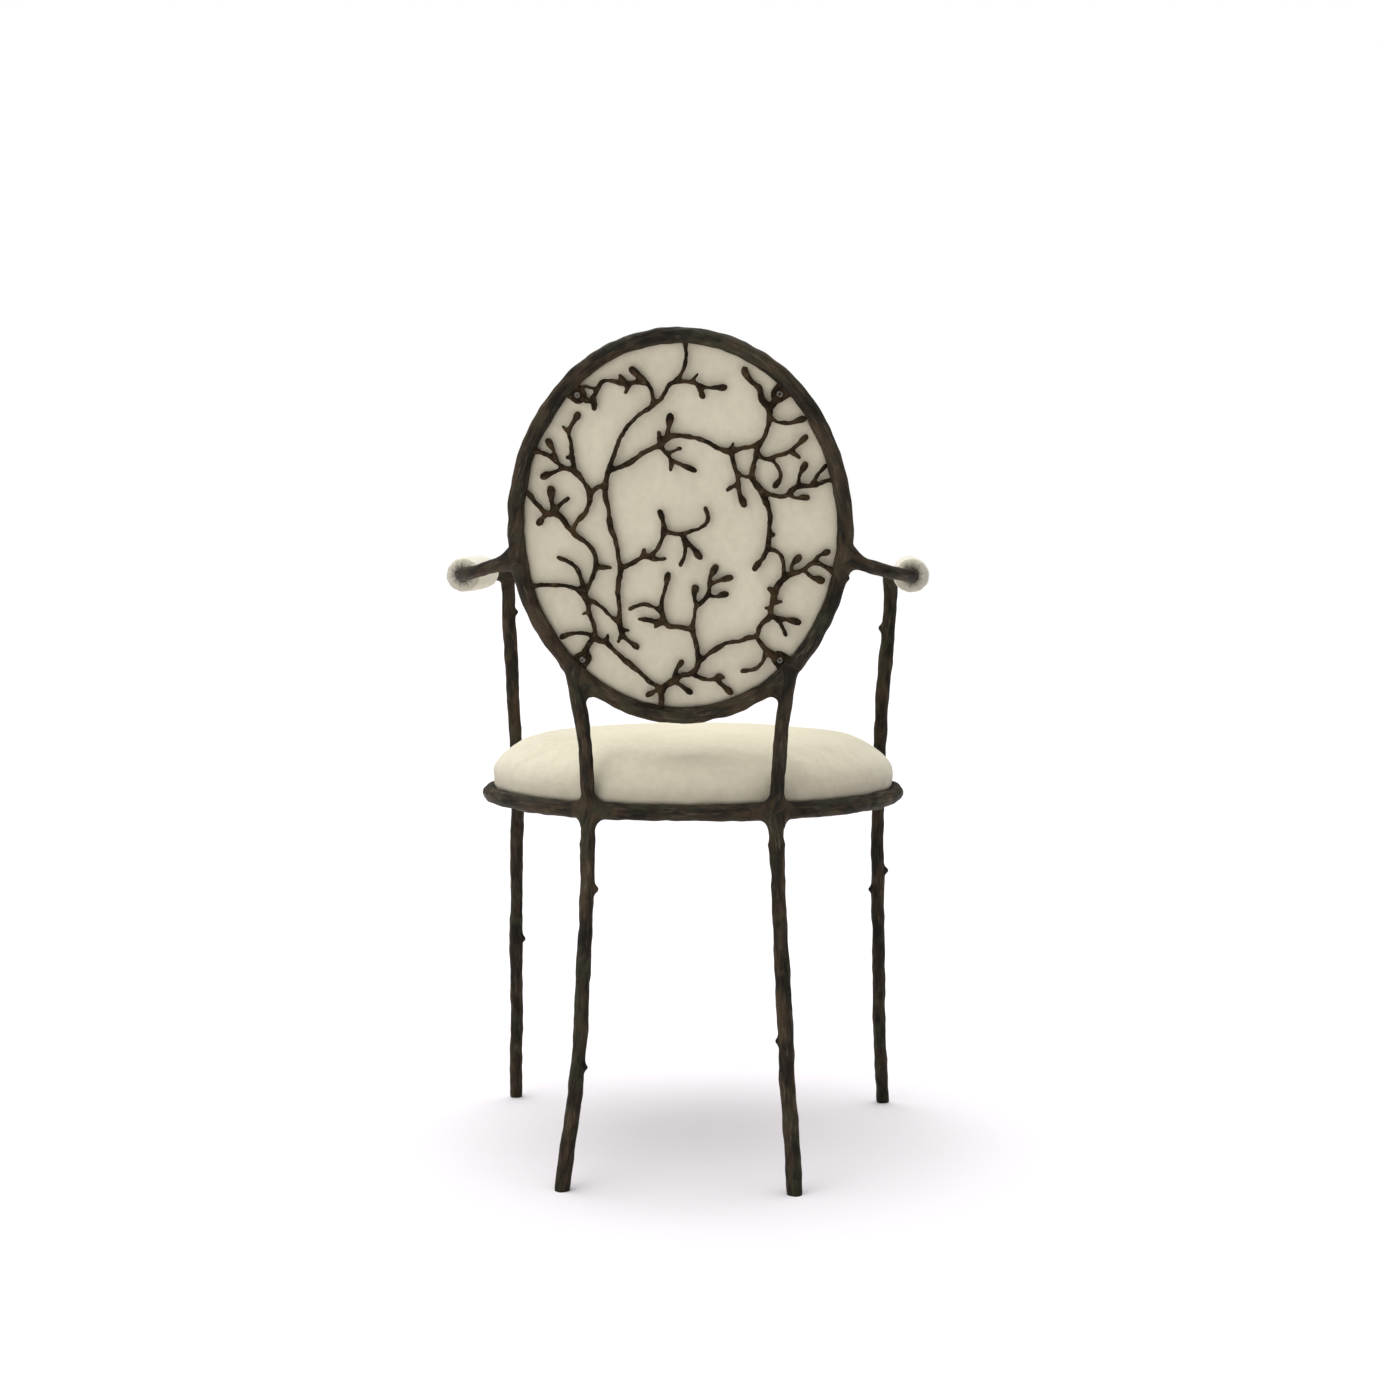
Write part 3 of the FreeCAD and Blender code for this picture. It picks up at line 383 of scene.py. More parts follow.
bark_bronze, shader, start = new_finish("bark_bronze")
on_rod = start.node("ShaderNodeAttribute", {"attribute_name": "rod_space"}, {}, 1)
raised = start.kept("swelling")
welded = start.kept("on_weld")
in_space = start.in_space()
streaks = on_rod.stretched((1.0, 1.0, 0.11)).noise(460.0, 4.0, 0.62)
long_patches = on_rod.stretched((1.0, 1.0, 0.22)).noise(95.0, 3.0, 0.55)
green = in_space.noise(41.0, 2.0)
pits = in_space.noise(950.0, 3.0, 0.65)
brown = long_patches.between(0.38, 0.62).blend((0.0170, 0.0146, 0.0100), (0.0550, 0.0380, 0.0220))
olive = (green.between(0.45, 0.66) * 0.8).blend(brown, (0.0350, 0.0340, 0.0190))
sunk = (0.25 - raised).between(0.0, 0.9) * streaks.between(0.60, 0.35)
dull = (sunk * 0.75).blend(olive, (0.0060, 0.0052, 0.0040))
# This mask lightens the raised bark: partly real wear, partly a painted highlight on the ridges
wear_and_highlight = streaks.between(0.50, 0.70) * raised.between(-0.35, 0.65) * (1.0 - welded * 0.4)
# Small bright specks in the base colour here are painted glints, standing in for glints of light on the
# bronze
painted_glints = pits.between(0.62, 0.72) * streaks.between(0.42, 0.60)
feed(shader, Base_Color=(wear_and_highlight * 0.55 + painted_glints * 0.45).blend(dull, (0.118, 0.096, 0.062)), Metallic=0.1,
     Roughness=0.62 - wear_and_highlight * 0.2 + (pits - 0.5) * 0.25, Specular_IOR_Level=0.1,
     Normal=(streaks * (1.0 - welded * 0.6) + pits * 0.5).bump(0.75, 0.0015))
dress(twig_frame, bark_bronze, "twig_metal", *RODS)


# The seat tabs and their screws: four flat bronze lugs are welded inside the seat ring. The seat board lies
# on them, and a steel screw goes up through each lug into the board.

plain_bronze, shader, start = new_finish("plain_bronze")
in_space = start.in_space()
patches = in_space.noise(48.0, 3.0, 0.55)
pits = in_space.noise(760.0, 3.0, 0.65)
brown = patches.between(0.36, 0.66).blend((0.0135, 0.0105, 0.0080), (0.0410, 0.0265, 0.0165))
feed(shader, Base_Color=brown, Metallic=0.1, Roughness=0.60 + (pits - 0.5) * 0.24, Specular_IOR_Level=0.2,
     Normal=(pits + patches * 0.5).bump(0.45, 0.0009))
paint("seat_tabs", plain_bronze)

screw_steel, shader, start = new_finish("screw_steel")
in_space = start.in_space()
brushing = in_space.stretched((1.0, 1.0, 0.15)).noise(2600.0, 3.0, 0.6)
grey = brushing.between(0.35, 0.7).blend((0.19, 0.175, 0.155), (0.33, 0.31, 0.28))
feed(shader, Base_Color=grey, Metallic=0.9, Roughness=0.34 + brushing * 0.18,
     Normal=brushing.bump(0.15, 0.0002))


def closed(name, shape):
    """New object from a bmesh whose faces are all turned outward first."""
    bmesh.ops.recalc_face_normals(shape, faces=shape.faces)
    return built(name, shape)


def turns(count):
    """Angles once round, in equal steps."""
    return [2 * math.pi * i / count for i in range(count)]


def band(shape, low, high):
    """Band of faces between two rings of corners."""
    for i in range(len(low)):
        shape.faces.new((low[i - 1], low[i], high[i], high[i - 1]))


def beside(axis, across, turn, reach):
    """Step away from an axis: this far, and turned round it by this angle from across."""
    return (across * math.cos(turn) + axis.cross(across) * math.sin(turn)) * reach


def turned_piece(shape, foot, axis, rows, sides=24):
    """Adds a round piece on an axis. Each row has a radius and a height in millimetres, and "hex" makes the
    row six-sided."""
    axis = Vector(axis).normalized()
    across = axis.orthogonal().normalized()
    rings = []
    for radius, height, *form in rows:
        ring = []
        for turn in turns(sides):
            reach = radius / math.cos(turn % (math.pi / 3) - math.pi / 6) if form else radius
            aside = beside(axis, across, turn, reach / 1000)
            ring.append(shape.verts.new(Vector(foot) + axis * (height / 1000) + aside))
        rings.append(ring)
    for low, high in zip(rings, rings[1:]):
        band(shape, low, high)
    shape.faces.new(rings[0])
    shape.faces.new(rings[-1])


def screw_places(node, axis):
    """For each of a node's four screws, its middle and the heights of its corners along an axis."""
    corners = places(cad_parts[node].data)
    middle = corners.mean(axis=0)
    tall = 1 if node == "seat_screws" else 2
    found = []
    for right in (False, True):
        for upper in (False, True):
            mine = ((corners[:, 0] > middle[0]) == right) & ((corners[:, tall] > middle[tall]) == upper)
            found.append((corners[mine].mean(axis=0), corners[mine] @ np.array(axis)))
    return found


def screw_set(name, node, axis, rows, head_height):
    """One piece with a screw at each of a node's four places, each head's top where the node has it."""
    axis = Vector(axis)
    shape = bmesh.new()
    for centre, heights in screw_places(node, axis):
        spot = Vector(centre)
        head_foot = spot + axis * (heights.max() - head_height - spot.dot(axis))
        turned_piece(shape, head_foot, axis, rows)
    return closed(name, shape)


SEAT_HEAD_HEIGHT = 0.003
# A screw from its tip to the floor of its socket, as rows of a turned piece
SEAT_SCREW = ((0.5, -12.5), (2.2, -11), (2.5, -10.5), (2.5, 0), (4.75, 0), (4.75, 0.6), (4.5, 1.5),
              (3.9, 2.4), (3.2, 2.9), (2.6, 3.0), (2.1, 2.9, "hex"), (2.0, 1.2, "hex"), (0.2, 1.1))
seat_screws = screw_set("seat_screw_set", "seat_screws", (0, 0, -1), SEAT_SCREW, SEAT_HEAD_HEIGHT)
dress(seat_screws, screw_steel, "screw", "seat_screws")


# The seat board and its dust cloth: plywood cut to the oval, closed underneath with black non-woven cloth
# that is stapled on all round.

plywood, shader, start = new_finish("plywood")
in_space = start.in_space()
grain = in_space.stretched((0.07, 1.0, 1.0)).noise(210.0, 4.0, 0.6)
plies = start.node("ShaderNodeTexNoise", {}, {"Scale": 640.0, "Detail": 1.0})
figure = in_space.stretched((0.16, 1.0, 0.3)).noise(26.0, 3.0, 0.55)
wood = (grain * 0.55 + figure * 0.45).between(0.34, 0.66).blend((0.33, 0.205, 0.105), (0.56, 0.41, 0.245))
feed(shader, Base_Color=(plies.between(0.50, 0.60) * 0.25).blend(wood, (0.25, 0.145, 0.07)),
     Roughness=0.72 - grain * 0.1, Normal=grain.bump(0.25, 0.0006))
paint("seat_board", plywood)
paint("back_board", plywood)

# The cloth sags in the middle. Its edge is lifted a little, and small pulls run in from it
DUST_CLOTH_SAG = 0.0014
DUST_CLOTH_LIFT = 0.0004
EDGE_PULL = 0.0006
INNER_PULL = 0.0005
PULL_SHARE = 0.6
CLOTH_ROUNDS = 96
CLOTH_ROWS = 22
low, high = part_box("seat_dust_cover")
cloth_centre = (low + high) / 2
cloth_half = ((high.x - low.x) / 2, (high.y - low.y) / 2)
shape = bmesh.new()
middle = shape.verts.new((cloth_centre.x, cloth_centre.y, low.z - DUST_CLOTH_SAG))
rings = []
for row in range(1, CLOTH_ROWS + 1):
    share = row / CLOTH_ROWS
    rise = DUST_CLOTH_LIFT - (DUST_CLOTH_SAG + DUST_CLOTH_LIFT) * (1 - share ** 2)
    ring = []
    for turn in turns(CLOTH_ROUNDS):
        pull = EDGE_PULL * math.sin(15 * turn) * share ** 3
        pull += INNER_PULL * math.sin(4 * turn + 1) * share * (1 - share)
        ring.append(shape.verts.new((cloth_centre.x + cloth_half[0] * share * math.cos(turn),
                                     cloth_centre.y + cloth_half[1] * share * math.sin(turn),
                                     low.z + rise + abs(pull) * PULL_SHARE)))
    rings.append(ring)
for i in range(CLOTH_ROUNDS):
    shape.faces.new((middle, rings[0][i - 1], rings[0][i]))
for inner, outer in zip(rings, rings[1:]):
    for i in range(CLOTH_ROUNDS):
        shape.faces.new((inner[i - 1], outer[i - 1], outer[i], inner[i]))
dust_cloth = closed("dust_cloth", shape)

black_felt, shader, start = new_finish("black_felt")
in_space = start.in_space()
fibres = in_space.noise(1500.0, 4.0, 0.7)
pressed = start.node("ShaderNodeTexVoronoi", {"feature": "F1"}, {"Scale": 520.0, "Randomness": 0.15})
black = fibres.between(0.35, 0.7).blend((0.008, 0.008, 0.008), (0.026, 0.026, 0.027))
feed(shader, Base_Color=black, Roughness=0.95, Specular_IOR_Level=0.2,
     Normal=(pressed * 0.8 + fibres * 0.4).bump(0.5, 0.0007))
dress(dust_cloth, black_felt, "dust_cloth", "seat_dust_cover")

STAPLE = ((0.15, 0), (0.36, 0.15), (0.42, 0.7), (0.42, 9.3), (0.36, 9.85), (0.15, 10))
STAPLE_COUNT = 34
STAPLE_INSET = 0.007
STAPLE_LEVEL = 0.0001
HALF_STAPLE = 0.005
# Staples shot by hand stray by this share of their spacing, and slant by this slope
STAPLE_STRAY = 0.12
STAPLE_SKEW = 0.2
shape = bmesh.new()
for i in range(STAPLE_COUNT):
    turn = 2 * math.pi * (i + STAPLE_STRAY * math.sin(7 * i)) / STAPLE_COUNT
    spot = Vector((cloth_centre.x + (cloth_half[0] - STAPLE_INSET) * math.cos(turn),
                   cloth_centre.y + (cloth_half[1] - STAPLE_INSET) * math.sin(turn), low.z + STAPLE_LEVEL))
    outward = Vector((math.cos(turn), math.sin(turn), 0))
    way = Vector((-math.sin(turn), math.cos(turn), 0)) + outward * STAPLE_SKEW * math.sin(3 * i)
    turned_piece(shape, spot - way.normalized() * HALF_STAPLE, way, STAPLE, sides=8)
staples = closed("dust_cloth_staples", shape)
dress(staples, screw_steel, "screw")


# The seat cushion: stuffing under brushed cream cloth. The cloth is drawn down between the ring and the
# board's edge and swells into one smooth crown, with the slightest tucks where the ring holds it.

cream_cloth, shader, start = new_finish("cream_cloth")
in_space = start.in_space()
nap = in_space.noise(1500.0, 3.0, 0.7)
brushed = in_space.stretched((1.0, 1.0, 0.8)).noise(105.0, 4.0, 0.62)
soiled = in_space.noise(13.0, 2.0)
shade = (brushed * 0.4 + soiled * 0.25 + nap * 0.35).between(0.34, 0.66)
# Painted shade: the cloth is darkened towards the ring, where shade falls on the cushion's lower side
painted_shade_by_ring = start.kept("painted_shade_by_ring")
cream = shade.blend((0.575, 0.532, 0.402), (0.668, 0.624, 0.480))
feed(shader, Base_Color=(painted_shade_by_ring * 0.3).blend(cream, (0.26, 0.235, 0.17)),
     Roughness=0.93 - brushed * 0.08, Sheen_Weight=0.22, Sheen_Roughness=0.55, Specular_IOR_Level=0.2,
     Normal=(nap * 0.7 + brushed * 0.6).bump(0.35, 0.0009))


PAD_ROUNDS = 120


def oval_pad(name, centre, up, out, half_width, half_height, levels):
    """Closed oval pad. Each level has an inset from the edge and a rise along out, both in millimetres."""
    across = Vector((1, 0, 0))
    shape = bmesh.new()
    rings = []
    for inset, rise in levels:
        wide = half_width - inset / 1000
        tall = half_height - inset / 1000 * half_height / half_width
        rings.append([shape.verts.new(Vector(centre) + across * (wide * math.cos(turn))
                                      + Vector(up) * (tall * math.sin(turn)) + Vector(out) * (rise / 1000))
                      for turn in turns(PAD_ROUNDS)])
    for low, high in zip(rings, rings[1:]):
        band(shape, low, high)
    shape.faces.new(rings[0])
    shape.faces.new(rings[-1])
    return closed(name, shape)


STUFFING_PRESSURE = 4.0
STUFFING_STEPS = 20
STUFFING_QUALITY = 5


def stuffed(piece, held, cap):
    """Lets a closed cloth swell under its stuffing, but not where it is held and not by more than the cap."""
    before = places(piece.data)
    group = piece.vertex_groups.new(name="held")
    group.add([int(i) for i in np.flatnonzero(held)], 1.0, "REPLACE")
    cloth = piece.modifiers.new("stuffing", "CLOTH")
    cloth.settings.vertex_group_mass = "held"
    cloth.settings.use_pressure = True
    cloth.settings.uniform_pressure_force = STUFFING_PRESSURE
    cloth.settings.effector_weights.gravity = 0
    cloth.settings.quality = STUFFING_QUALITY
    cloth.point_cache.frame_end = STUFFING_STEPS
    for step in range(1, STUFFING_STEPS + 1):
        scene.frame_set(step)
    swollen = piece.evaluated_get(bpy.context.evaluated_depsgraph_get()).to_mesh()
    moved = places(swollen) - before
    piece.evaluated_get(bpy.context.evaluated_depsgraph_get()).to_mesh_clear()
    piece.modifiers.clear()
    piece.vertex_groups.clear()
    scene.frame_set(1)
    length = np.maximum(np.linalg.norm(moved, axis=1), 1e-9)
    moved *= (cap * np.tanh(length / cap) / length)[:, None]
    move_to(piece.data, before + moved)


# Insets from the cushion's edge and rises, in millimetres, from under the board up and over to the crown
SEAT_LEVELS = [(60, 1), (5.4, 1), (4.6, 6), (2.6, 9), (-1, 12), (-3, 14), (-4.4, 18), (-6.2, 24), (-7.0, 31),
               (-5, 36), (-0.5, 43), (7, 50), (18, 57), (33, 63), (55, 67.5), (90, 71), (135, 73), (180, 74),
               (225, 74.3)]
SEAT_GRAIN = 0.005
SEAT_HELD_BELOW = 0.013
SEAT_SWELLING = 0.0045
# Tucks along the ring: their height over the cushion's foot, how far they reach, and how deep they are
TUCK_LEVEL = 0.016
TUCK_REACH = 0.008
TUCK_DEPTH = 0.00045
# Slack of the cloth: how deep it is, and the height over the cushion's foot where it begins
SLACK_DEPTH = 0.0007
SLACK_ABOVE = 0.03
# Painted shade darkens the cloth along the ring. It fades out up to a height over the cushion's foot
PAINTED_SHADE_UP_TO = 0.050
PAINTED_SHADE_FADE = 0.030
low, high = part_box("seat_cushion")
seat_centre = ((low.x + high.x) / 2, (low.y + high.y) / 2, low.z)
seat_cushion = oval_pad("seat_cushion_cloth", seat_centre, (0, 1, 0), (0, 0, 1),
                        (high.x - low.x) / 2, (high.y - low.y) / 2, SEAT_LEVELS)
apply(seat_cushion, voxels(SEAT_GRAIN), smoothed(4))
stuffed(seat_cushion, places(seat_cushion.data)[:, 2] < low.z + SEAT_HELD_BELOW, SEAT_SWELLING)
apply(seat_cushion, smoothed(3), FINER)
points = places(seat_cushion.data)
turn = np.arctan2(points[:, 1] - seat_centre[1], points[:, 0] - seat_centre[0])
level = points[:, 2] - low.z
near_ring = np.exp(-((level - TUCK_LEVEL) / TUCK_REACH) ** 2)
tucks = np.sin(41 * turn + 2 * np.sin(5 * turn)) * (0.6 + 0.4 * np.sin(9 * turn))
slack = np.sin(31 * points[:, 0] + 2 * np.sin(19 * points[:, 1])) * np.sin(27 * points[:, 1] + 1.3)
relief = TUCK_DEPTH * near_ring * tucks + SLACK_DEPTH * slack * (level > SLACK_ABOVE)
move_to(seat_cushion.data, points + facing(seat_cushion.data) * relief[:, None])
# Painted shade along the ring, darkest at the cushion's foot
keep_numbers(seat_cushion.data, "painted_shade_by_ring", np.clip((PAINTED_SHADE_UP_TO - level) / PAINTED_SHADE_FADE, 0, 1))
dress(seat_cushion, cream_cloth, "seat_cloth", "seat_cushion")


# The branch openwork: nine bronze castings of budded twigs, brazed to the back ring and to each other, with
# four flat lugs for the screws that hold the back pad.

low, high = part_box("back_ring")
back_centre = Vector((low + high) / 2)
back_up = Vector((0, math.sin(RECLINE), math.cos(RECLINE)))
rearward = Vector((0, math.cos(RECLINE), -math.sin(RECLINE)))
# Half width and half height of the opening inside the back ring
OPENING_HALF = Vector((0.17375, 0.20375))
TWIG_RADIUS = 0.0025
BUD_SWELL = 1.22
# The twigs' centrelines lie this far behind the ring's plane
TWIG_OUT = 0.0014
TWIG_GRAIN = 0.0009
TWIG_FILLET = 0.0011
TWIG_PARED = 0.0009
# Knots on the twigs: their height, and how closely large and small ones repeat, per metre
KNOT_HEIGHT = 0.0004
LARGE_KNOTS = 150
SMALL_KNOTS = 390
# Front and rear face of a lug, as distances behind the ring's plane
LUG_HEIGHTS = (-0.0046, 0.001)
# Leaf shape of a lug round its screw, in millimetres towards the ring and sideways
LUG_LEAF = ((-10.5, 0), (-9, 4.6), (-5.5, 7.8), (0, 9.0), (5, 9.8), (14, 11.5), (14, -11.5), (5, -9.6),
            (0, -8.8), (-5.5, -7.4), (-9, -4.2))
# A twig that runs into a lug ends this far from the middle of the screw
SCREW_ROOM = 0.0085
# Round end of a bud past a twig's last point: distance and radius, as shares of the radius there
BUD_END = ((0.75, 0.86), (1.25, 0.42))
# Each casting's stem and side twigs from root to tip. A point is right and up, seen from behind, in per cent
# of the opening's half width and half height, then a thickness in per cent of a plain twig. A lug's name
# stands for the place of its screw
BRANCHES = {
    "branch_crown": [
        [(4, 104, 220), (5, 97, 100), (5, 91, 90), (1, 82, 90), (-6, 77, 100), (-10, 71, 90),
         (-17, 66, 100), (-27, 60, 90), (-35, 52, 100), (-42, 38, 100), (-45, 31, 120), (-47, 20, 130),
         (-45, 10, 100), (-44, 1, 140), (-41, -6, 100), (-39, -17, 100), (-38, -21, 140),
         (-40, -33, 110), (-39, -44, 100), (-39, -53, 140), (-37, -59, 100), (-32, -63, 90),
         (-29, -65, 110)],
        [(-3, 79, 100), (8, 79, 90), (18, 76, 80), (24, 76, 100), (28, 76, 130)],
        [(8, 79, 80), (12, 83, 64)],
        [(12, 77, 80), (14, 74, 90), (15, 72, 120)],
        [(-17, 66, 100), (-16, 70, 90), (-17, 75, 90), (-21, 80, 100), (-28, 85, 140)],
        [(-19, 78, 90), (-25, 79, 100), (-33, 78, 100), (-44, 80, 90), (-48, 79, 100), (-52, 73, 100),
         (-57, 69, 110), ("top_left", 120)],
        [(-32, 78, 100), (-36, 82, 90)],
        [(-30, 78, 90), (-33, 74, 90)],
        [(-50, 75, 80), (-58, 77, 90)],
        [(-53, 71, 100), (-53, 66, 110)],
        [(-38, -55, 80), (-34, -56, 76)],
        [(-38, -58, 80), (-40, -62, 76)]],
    "branch_right_upper": [
        [(42, 87, 120), (42, 84, 160), (46, 79, 110), (51, 75, 140), (52, 70, 150), (57, 64, 160),
         (57, 60, 110), (54, 50, 100), (50, 44, 110), (47, 34, 110), (46, 28, 120), (51, 21, 130),
         (54, 16, 150), (57, 9, 110), (57, 1, 100), (56, -8, 120), (54, -14, 100), (48, -21, 120)],
        [(57, 64, 140), (60, 68, 160), ("top_right", 180)],
        [(57, 61, 100), (61, 58, 80), (69, 57, 90), (77, 59, 130)],
        [(49, 41, 100), (54, 38, 90), (60, 39, 90), (70, 42, 100), (74, 45, 90), (79, 49, 120)],
        [(70, 42, 90), (75, 39, 100)],
        [(55, 38, 80), (60, 36, 76), (63, 32, 76), (64, 28, 90), (61, 24, 120)],
        [(48, 25, 120), (53, 21, 100), (58, 18.5, 90), (67, 18, 90), (71, 21, 130), (76, 23, 110),
         (85, 23.5, 90), (93, 26, 100), (100.5, 27.5, 180)],
        [(75, 23, 90), (76, 29, 80), (79, 34, 130)],
        [(83, 24, 80), (88, 30, 80), (92, 34, 100)],
        [(69, 19, 90), (73, 17, 80), (80, 17, 120)],
        [(57, -2, 120), (59, -3, 100)]],
    "branch_bottom": [
        [(-14, -103.5, 220), (-13, -96, 120), (-12, -89, 160), (-5, -84, 150), (1, -81, 110),
         (6, -80, 120), (10, -77, 130), (11, -72, 120), (9.5, -62, 110), (7.5, -56, 130), (9, -48, 90),
         (10, -43, 100), (14, -40, 110), (18, -35, 100), (19, -27, 90), (22, -22, 140)],
        [(-13, -88, 100), (-17, -90, 90), (-21, -92, 110)],
        [(-5, -84, 100), (-3, -78, 90), (0, -74, 110)],
        [(-4, -85, 90), (0, -87, 90), (5, -90, 120)],
        [(7, -80, 110), (11, -82, 100), (21, -83, 90), (24, -81, 90), (27, -82, 80)],
        [(22, -83, 100), (26, -86, 100), (31, -90, 120)],
        [(7.5, -56, 120), (0, -54, 110), (-8, -53.5, 110), (-11, -51, 150), (-16, -51, 110),
         (-22, -50, 110), (-26, -49.7, 80)],
        [(-12, -52, 100), (-16, -54, 80)],
        [(-11, -50, 120), (-12, -44, 110), (-12, -40, 90), (-9, -31, 90), (-8, -26, 130)],
        [(-12, -46, 100), (-17, -43, 90), (-24, -41.5, 90), (-32, -44, 90)],
        [(10, -42, 90), (9, -38, 90), (9.5, -33, 140)],
        [(17, -36, 90), (22, -37, 80), (28, -36, 130)],
        [(19, -31, 90), (23, -29, 80), (31, -27, 130)]],
    "branch_left_lower": [
        [(-99, -32.5, 200), (-91, -31, 100), (-80, -31, 90), (-70, -32, 90), (-63, -35, 170),
         (-60, -40, 120), (-58, -48, 100), (-55, -56, 100), (-55, -60, 150), (-48, -63, 120),
         (-41, -69, 100), (-33, -75, 140), (-27, -79, 100), (-20, -85, 100), (-12, -88, 100)],
        [(-62, -35, 120), (-63, -29, 100), (-66, -22, 100), (-71, -18, 90), (-77, -16, 100)],
        [(-61, -38, 100), (-53, -41.5, 90), (-46, -47, 90), (-39, -53, 100)],
        [(-59, -46, 80), (-62.5, -47, 64)],
        [(-55, -60, 100), (-60, -58, 90), (-71, -58, 90), (-76, -59.5, 110)],
        [(-56, -60, 120), (-60, -65, 140), ("bottom_left", 180)],
        [(-48, -63, 90), (-47, -59, 80)]],
    "branch_left_middle": [
        [(-102, 22, 200), (-97, 20, 120), (-90, 13, 110), (-83, 8, 120), (-79, 8.5, 140), (-70, 0, 110),
         (-67, -3, 130), (-58, -9, 100), (-54, -15, 100), (-54, -21, 120), (-58, -30, 90),
         (-61, -35, 100)],
        [(-84, 8, 90), (-87, 6, 100), (-89, 4, 140)],
        [(-80, 9, 120), (-81, 14, 100), (-81.5, 21, 150)],
        [(-79, 10, 110), (-76, 13, 90), (-71, 16.5, 100)],
        [(-54, -21, 100), (-49, -21, 120), (-45, -21.3, 80)]],
    "branch_left_upper": [
        [(-95, 43, 200), (-87, 41.5, 100), (-81, 39, 90), (-74, 34, 90), (-66, 31, 140), (-60, 25, 100),
         (-57, 19, 140), (-59, 10, 100), (-63, 6, 130), (-66, 3, 90), (-68, -1, 90)],
        [(-77, 36, 90), (-79, 42, 80), (-82, 47, 130)],
        [(-66, 31, 110), (-67.5, 40, 110), (-68, 46, 90), (-69, 53, 90), (-66, 58, 100),
         (-64, 61, 140)],
        [(-69, 52, 80), (-73, 55.5, 60)],
        [(-67, 39, 100), (-70, 39, 90)],
        [(-73, 33, 90), (-79, 31, 90), (-85, 29, 140)],
        [(-57, 19, 110), (-51, 23, 100), (-47, 24, 100)]],
    "branch_right_lower": [
        [(11, -74, 120), (17, -69.5, 100), (23, -66, 140), (29, -63, 90), (39, -61.5, 100),
         (43, -60, 130), (48, -59, 100), (51, -53, 110), (57, -48, 130), (58, -43, 110), (60, -36, 160),
         (63, -30, 150), (70, -25, 120), (74, -24, 120), (79, -22, 100), (85, -18.5, 110),
         (92, -20.5, 100), (103, -26.2, 200)],
        [(66, -28, 120), (66, -22, 90), (65, -16, 90), (62, -12.5, 90), (56, -11, 100)],
        [(48, -59, 100), (54, -66, 120), ("bottom_right", 180)],
        [(54, -67, 90), (53, -72, 80), (48, -77, 90), (40, -78.5, 100)],
        [(57, -48, 100), (66, -49.5, 90), (74, -51, 140)],
        [(61, -49, 90), (65, -54, 80), (67, -58, 100)],
        [(58, -44, 100), (55, -43.5, 76)],
        [(59, -41, 100), (64, -40, 70)],
        [(60, -36, 120), (57, -33, 100)],
        [(71, -24, 90), (71, -20, 90), (75, -16, 130)],
        [(79, -22, 90), (83, -26, 80), (89, -28, 140)],
        [(84, -19, 90), (88, -15, 90), (93, -12.7, 120)]],
    "branch_centre": [
        [(-45, 31, 100), (-38, 33.5, 100), (-32, 35.5, 130), (-21, 42, 110), (-12, 45.5, 120),
         (-5, 50, 120), (2, 50.3, 110), (18, 47, 100), (25, 43.5, 100), (32, 42, 140), (40, 43.5, 100),
         (47, 45, 90), (53, 48.5, 90)],
        [(-12, 46, 100), (-12.5, 51.5, 100)],
        [(-8, 49, 100), (-6.5, 54, 90), (-5.3, 60, 140)],
        [(-12, 45, 100), (-7, 40, 90), (-5, 37, 90), (-5.5, 32, 76)],
        [(-7, 41, 80), (0.5, 43.5, 80)],
        [(-5, 37.5, 90), (0, 35.5, 90), (9, 32, 110)],
        [(32, 42, 100), (34, 46, 70)],
        [(33, 42, 120), (34, 37, 100), (37, 28, 100), (38, 20, 100), (40.5, 14, 130)],
        [(37, 25, 90), (31, 21.5, 96)],
        [(36, 31, 90), (40, 29, 80), (47, 27.5, 80)]],
    "branch_heart": [
        [(-38, -21.5, 120), (-31, -19, 110), (-25, -16, 100), (-18, -14, 100), (-12, -7, 90),
         (-10, 0, 130), (-10.5, 4, 100), (-12, 8.5, 120)],
        [(-25, -16, 100), (-23, -12, 96)],
        [(-22, -15.5, 90), (-14, -16.7, 100), (-10, -16.3, 80)],
        [(-10, -1, 100), (-2, -2.8, 100), (8, -1, 80), (14, 1, 80), (18, 5, 100), (16.5, 11, 96)],
        [(1, -2.5, 100), (3, -8, 90), (3, -14, 90), (0.5, -19.5, 96)],
        [(3, -5, 90), (7, -9, 90), (12, -14.5, 130)]],
}


def back_place(right, up, out):
    """Point in the leaning plane of the back from lengths to the right, seen from behind, up and rearward."""
    return back_centre - Vector((right, 0, 0)) + back_up * up + rearward * out


lug_spots = {}
for centre, _ in screw_places("back_screws", rearward):
    across = Vector(centre) - back_centre
    name = ("top_" if across.z > 0 else "bottom_") + ("left" if across.x > 0 else "right")
    lug_spots[name] = Vector((-across.x, across.dot(back_up)))

